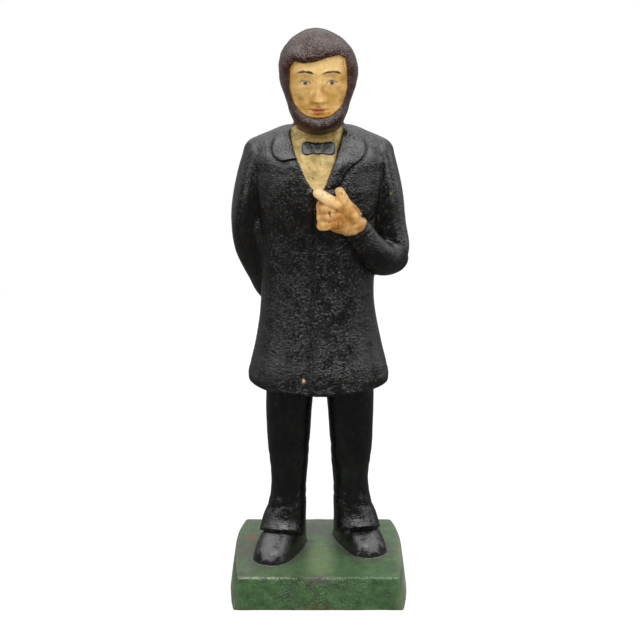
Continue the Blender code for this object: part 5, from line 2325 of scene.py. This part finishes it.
        # Painted shade that darkens the creases by how sharply they bend inwards, together with dirt in
        # them; then pits, and the line where the halves meet
        crease_shade_and_dirt = put(RANGE, {0: field["hollow"], 1: 0.08, 2: 0.6, 3: 0.0, 4: 0.75})
        mixed = {0: crease_shade_and_dirt, 6: colour, 7: linear(self.crease_shade_and_grime)}
        colour = put(MIX, mixed, data_type="RGBA", blend_type="MULTIPLY").outputs[2]
        pits = put(MATH, {0: pitted, 1: 0.24, 2: noise["specks"]}, operation="MULTIPLY_ADD")
        pits = put(RANGE, {0: pits, 1: 0.73, 2: 0.78})
        prone = put(RANGE, {0: pitted, 1: 0.02, 2: 0.08})
        pits = put(MATH, {0: pits, 1: prone}, operation="MULTIPLY")
        depth = put(MATH, {0: put("ShaderNodeSeparateXYZ", {0: at}).outputs[1]}, operation="ABSOLUTE")
        seam = put(RANGE, {0: depth, 1: self.seam_width, 2: self.seam_width * 0.3, 3: 0.0, 4: 0.35})
        for share in (pits, seam):
            colour = put(MIX, {0: share, 6: colour, 7: linear(self.pit)}, data_type="RGBA").outputs[2]

        height = self.sand_height(put, noise, field["coarse"], grainy)
        for form, amount in ((noise["stains"], 0.07), (pits, -0.12), (seam, -0.2)):
            height = put(MATH, {0: form, 1: amount, 2: height}, operation="MULTIPLY_ADD")
        bump = put("ShaderNodeBump", {"Strength": 1.0, "Distance": MM * self.relief, "Height": height})
        dull = put(RANGE, {0: noise["stains"], 1: 0.3, 2: 0.7, 3: -0.03, 4: 0.04})
        dull = put(MATH, {0: worn_edge, 1: 0.12, 2: dull}, operation="MULTIPLY_ADD")
        dull = put(MATH, {0: roughness, 1: dull}, operation="ADD")
        shader = put(SHADER, {"Base Color": colour, "Roughness": dull, "IOR": self.ior, "Normal": bump})
        put("ShaderNodeOutputMaterial", {0: shader})
        return material


@dataclass(frozen=True)
class PaintedScrewSteel:
    """Turned steel that was painted over in black and is rubbed bright on its edges."""

    name: str = "painted_screw_steel"
    paint: str = "#1a1918"
    steel: str = "#8d8a85"
    turning_pitch: float = 0.35
    wear_size: float = 1.4

    def build(self) -> bpy.types.Material:
        """Makes the material.

        Returns:
            The material.
        """
        material = bpy.data.materials.new(self.name)
        put = empty_tree(material)
        place = put("ShaderNodeTexCoord").outputs["Object"]
        at = put("ShaderNodeVectorMath", {0: place, 3: 1 / MM}, operation="SCALE")
        wear = put(NOISE, {"Vector": at, "Scale": 1 / self.wear_size, "Detail": 4.0})
        turning = put(NOISE, {"Vector": at, "Scale": 1 / self.turning_pitch, "Detail": 1.0})
        bare = put(RANGE, {0: wear, 1: 0.54, 2: 0.62})
        tint = {0: bare, 6: linear(self.paint), 7: linear(self.steel)}
        colour = put(MIX, tint, data_type="RGBA").outputs[2]
        rough = put(RANGE, {0: turning, 1: 0.3, 2: 0.7, 3: 0.32, 4: 0.5})
        bump = put("ShaderNodeBump", {"Strength": 0.6, "Distance": MM * 0.1, "Height": turning})
        finish = {"Base Color": colour, "Metallic": bare, "Roughness": rough, "Normal": bump}
        put("ShaderNodeOutputMaterial", {0: put(SHADER, finish)})
        return material


# Studio

FIGURE_MIDDLE = (0.0, 0.0, 0.16)


def turn_to(obj: bpy.types.Object, place: Sequence[float], aim: Sequence[float]) -> None:
    """Stands a lamp or camera at a place and turns it to face another."""
    obj.location = place
    obj.rotation_euler = (Vector(aim) - Vector(place)).to_track_quat("-Z", "Y").to_euler()


@dataclass(frozen=True)
class Lamp:
    """A soft box: its place, size and power, turned to the middle of the figure."""

    name: str
    place: tuple[float, float, float]
    size: tuple[float, float]
    power: float

    def build(self) -> None:
        """Adds the lamp."""
        light = bpy.data.lights.new(self.name, "AREA")
        light.shape = "RECTANGLE"
        light.size, light.size_y = self.size
        light.energy = self.power
        turn_to(linked(self.name, light), self.place, FIGURE_MIDDLE)


@dataclass(frozen=True)
class Studio:
    """A white sweep in a tent of soft light, and the camera at the photograph's angle.

    Black enamel mirrors a tent that is bright overhead and behind the figure and
    dim in front of it, so it greys on every slope that faces up and stays deep
    elsewhere.
    """

    camera_place: tuple[float, float, float] = (0.0, -0.95095, 0.461)
    camera_aim: tuple[float, float, float] = (0.0, -0.00095, 0.165)
    focal_pixels: float = 1733.3
    middle_pixels: tuple[float, float] = (318.5, 317.64)
    fill: float = 0.2
    front_gloss: float = 0.07
    top_gloss: float = 4.0
    top_back_share: float = 0.3
    back_gloss: float = 0.32
    tent_foot: float = 0.45
    tent_top: float = 0.8
    floor_gloss: float = 0.1
    floor_reach: float = 0.6
    floor_colour: str = "#e6e6e6"
    floor_share: float = 0.5
    floor_glow: float = 1.55
    lamps: tuple[Lamp, ...] = (
        Lamp("front_box", (0.0, -1.35, 0.75), (0.9, 0.3), 3.6),
        Lamp("front_top_box", (0.0, -0.78, 0.98), (0.6, 0.2), 3.5),
        Lamp("overhead_box", (0.0, 0.3, 1.1), (1.1, 0.6), 2.0),
        Lamp("back_box", (0.0, 1.0, 0.75), (1.4, 0.5), 2.0),
        Lamp("left_box", (-0.9, -0.6, 0.5), (0.5, 0.7), 3.2),
        Lamp("right_box", (0.95, -0.5, 0.5), (0.5, 0.7), 3.5),
        Lamp("back_left_box", (-1.1, 0.35, 0.5), (0.5, 0.8), 1.0),
        Lamp("back_right_box", (1.1, 0.35, 0.5), (0.5, 0.8), 2.3),
    )

    def floor(self) -> bpy.types.Object:
        """The white floor, which keeps the figure's shadow.

        Returns:
            The floor's object.
        """
        reach = self.floor_reach
        mesh = bpy.data.meshes.new("white_sweep")
        corners = [(-reach, -reach, 0), (reach, -reach, 0), (reach, reach, 0), (-reach, reach, 0)]
        mesh.from_pydata(corners, [], [(0, 1, 2, 3)])
        floor = linked("white_sweep", mesh)
        material = bpy.data.materials.new("white_paper")
        put = empty_tree(material)
        ray = put("ShaderNodeLightPath").outputs
        mirrored = put(MATH, {0: ray["Is Glossy Ray"], 1: ray["Is Transmission Ray"]}, operation="MAXIMUM")
        seen = put(MATH, {0: ray["Is Camera Ray"], 1: self.floor_share, 2: mirrored},
                   operation="MULTIPLY_ADD")
        strength = put(RANGE, {0: mirrored, 3: self.floor_glow, 4: self.floor_gloss})
        paper = put("ShaderNodeBsdfDiffuse", {"Color": linear(self.floor_colour)})
        glow = put("ShaderNodeEmission", {"Color": (1, 1, 1, 1), "Strength": strength})
        put("ShaderNodeOutputMaterial", {0: put("ShaderNodeMixShader", {0: seen, 1: paper, 2: glow})})
        mesh.materials.append(material)
        return floor

    def world(self) -> None:
        """Even light from all round, on a white background."""
        world = bpy.data.worlds.new("white_studio")
        bpy.context.scene.world = world
        put = empty_tree(world)
        ray = put("ShaderNodeLightPath").outputs
        way = put("ShaderNodeTexCoord").outputs["Generated"]
        _, behind, above = put("ShaderNodeSeparateXYZ", {0: way}).outputs
        span = {1: self.tent_foot, 2: self.tent_top, 3: self.front_gloss, 4: self.top_gloss}
        high = put(RANGE, {0: above, **span}, interpolation_type="SMOOTHSTEP")
        ahead = put(RANGE, {0: behind, 1: 0.1, 2: 0.6, 3: 1.0, 4: self.top_back_share})
        high = put(MATH, {0: high, 1: ahead}, operation="MULTIPLY")
        back = put(RANGE, {0: behind, 1: -0.1, 2: 0.5, 3: 0.0, 4: self.back_gloss},
                   interpolation_type="SMOOTHSTEP")
        tent = put(MATH, {0: high, 1: back}, operation="MAXIMUM")
        mirrored = put(MATH, {0: ray["Is Glossy Ray"], 1: ray["Is Transmission Ray"]}, operation="MAXIMUM")
        soft = put(MIX, {0: mirrored, 2: self.fill, 3: tent})
        strength = put(MIX, {0: ray["Is Camera Ray"], 2: soft, 3: 1.0})
        sky = put("ShaderNodeBackground", {"Color": (1, 1, 1, 1), "Strength": strength})
        put("ShaderNodeOutputWorld", {0: sky})

    def camera(self) -> None:
        """The camera, framed for the photograph's width."""
        lens = bpy.data.cameras.new("photo_camera")
        lens.sensor_width = 36.0
        lens.lens = self.focal_pixels / PHOTO_WIDTH * lens.sensor_width
        lens.shift_x = (PHOTO_WIDTH / 2 - self.middle_pixels[0]) / PHOTO_WIDTH
        lens.shift_y = (self.middle_pixels[1] - PHOTO_WIDTH / 2) / PHOTO_WIDTH
        lens.clip_start, lens.clip_end = 0.01, 20.0
        camera = linked("photo_camera", lens)
        turn_to(camera, self.camera_place, self.camera_aim)
        bpy.context.scene.camera = camera

    def build(self) -> None:
        """Sets the stage, lights and camera."""
        self.floor()
        self.world()
        for lamp in self.lamps:
            lamp.build()
        self.camera()
        bpy.context.scene.view_settings.view_transform = "Standard"


@dataclass(frozen=True)
class Doorstop:
    """The two castings and the screws that hold them together."""

    castings: tuple[HalfCasting, ...] = (
        HalfCasting("front_casting", "front_half", "front_casting", FRONT),
        HalfCasting("back_casting", "back_half", "back_casting", BACK),
    )
    screws: tuple[SlottedScrew, ...] = (SlottedScrew("lower_screw"), SlottedScrew("upper_screw"))

    def build(self) -> list[bpy.types.Object]:
        """Shapes the pattern, casts the halves and turns the screws.

        Returns:
            The pieces, castings first.
        """
        pattern = Pattern()
        regions = pattern.regions()
        figure = pattern.build()
        points = column(figure.data.vertices, "co", 3, np.float32) / MM
        corners = column(figure.data.polygons, "vertices", 3, np.int32)
        skin = BVHTree.FromPolygons(points.tolist(), corners.tolist())
        log.info("pattern carved: %d triangles", len(figure.data.polygons))
        combine(figure, "DIFFERENCE", CORE.build())
        for screw in self.screws:
            combine(figure, "DIFFERENCE", screw.hole())
        pieces = []
        for casting in self.castings:
            obj = casting.build(figure)
            casting.brush(obj, skin, regions)
            pieces.append(obj)
        bpy.data.objects.remove(figure, do_unlink=True)
        return pieces + [screw.build() for screw in self.screws]

    def dress(self, pieces: list[bpy.types.Object]) -> None:
        """Gives every piece its finish and its place in the frame.

        Args:
            pieces: The pieces, castings first.
        """
        enamel = SandCastEnamel().build()
        steel = PaintedScrewSteel().build()
        for part, obj in zip(self.castings + self.screws, pieces):
            part.dress(obj, enamel if isinstance(part, HalfCasting) else steel)
            log.info("%s: %d faces", obj.name, len(obj.data.polygons))


def main() -> None:
    """Builds and dresses the doorstop, then the studio round it."""
    logging.basicConfig(level=logging.INFO, format="%(name)s: %(message)s")
    doorstop = Doorstop()
    doorstop.dress(doorstop.build())
    Studio().build()


if __name__ == "__main__":
    main()
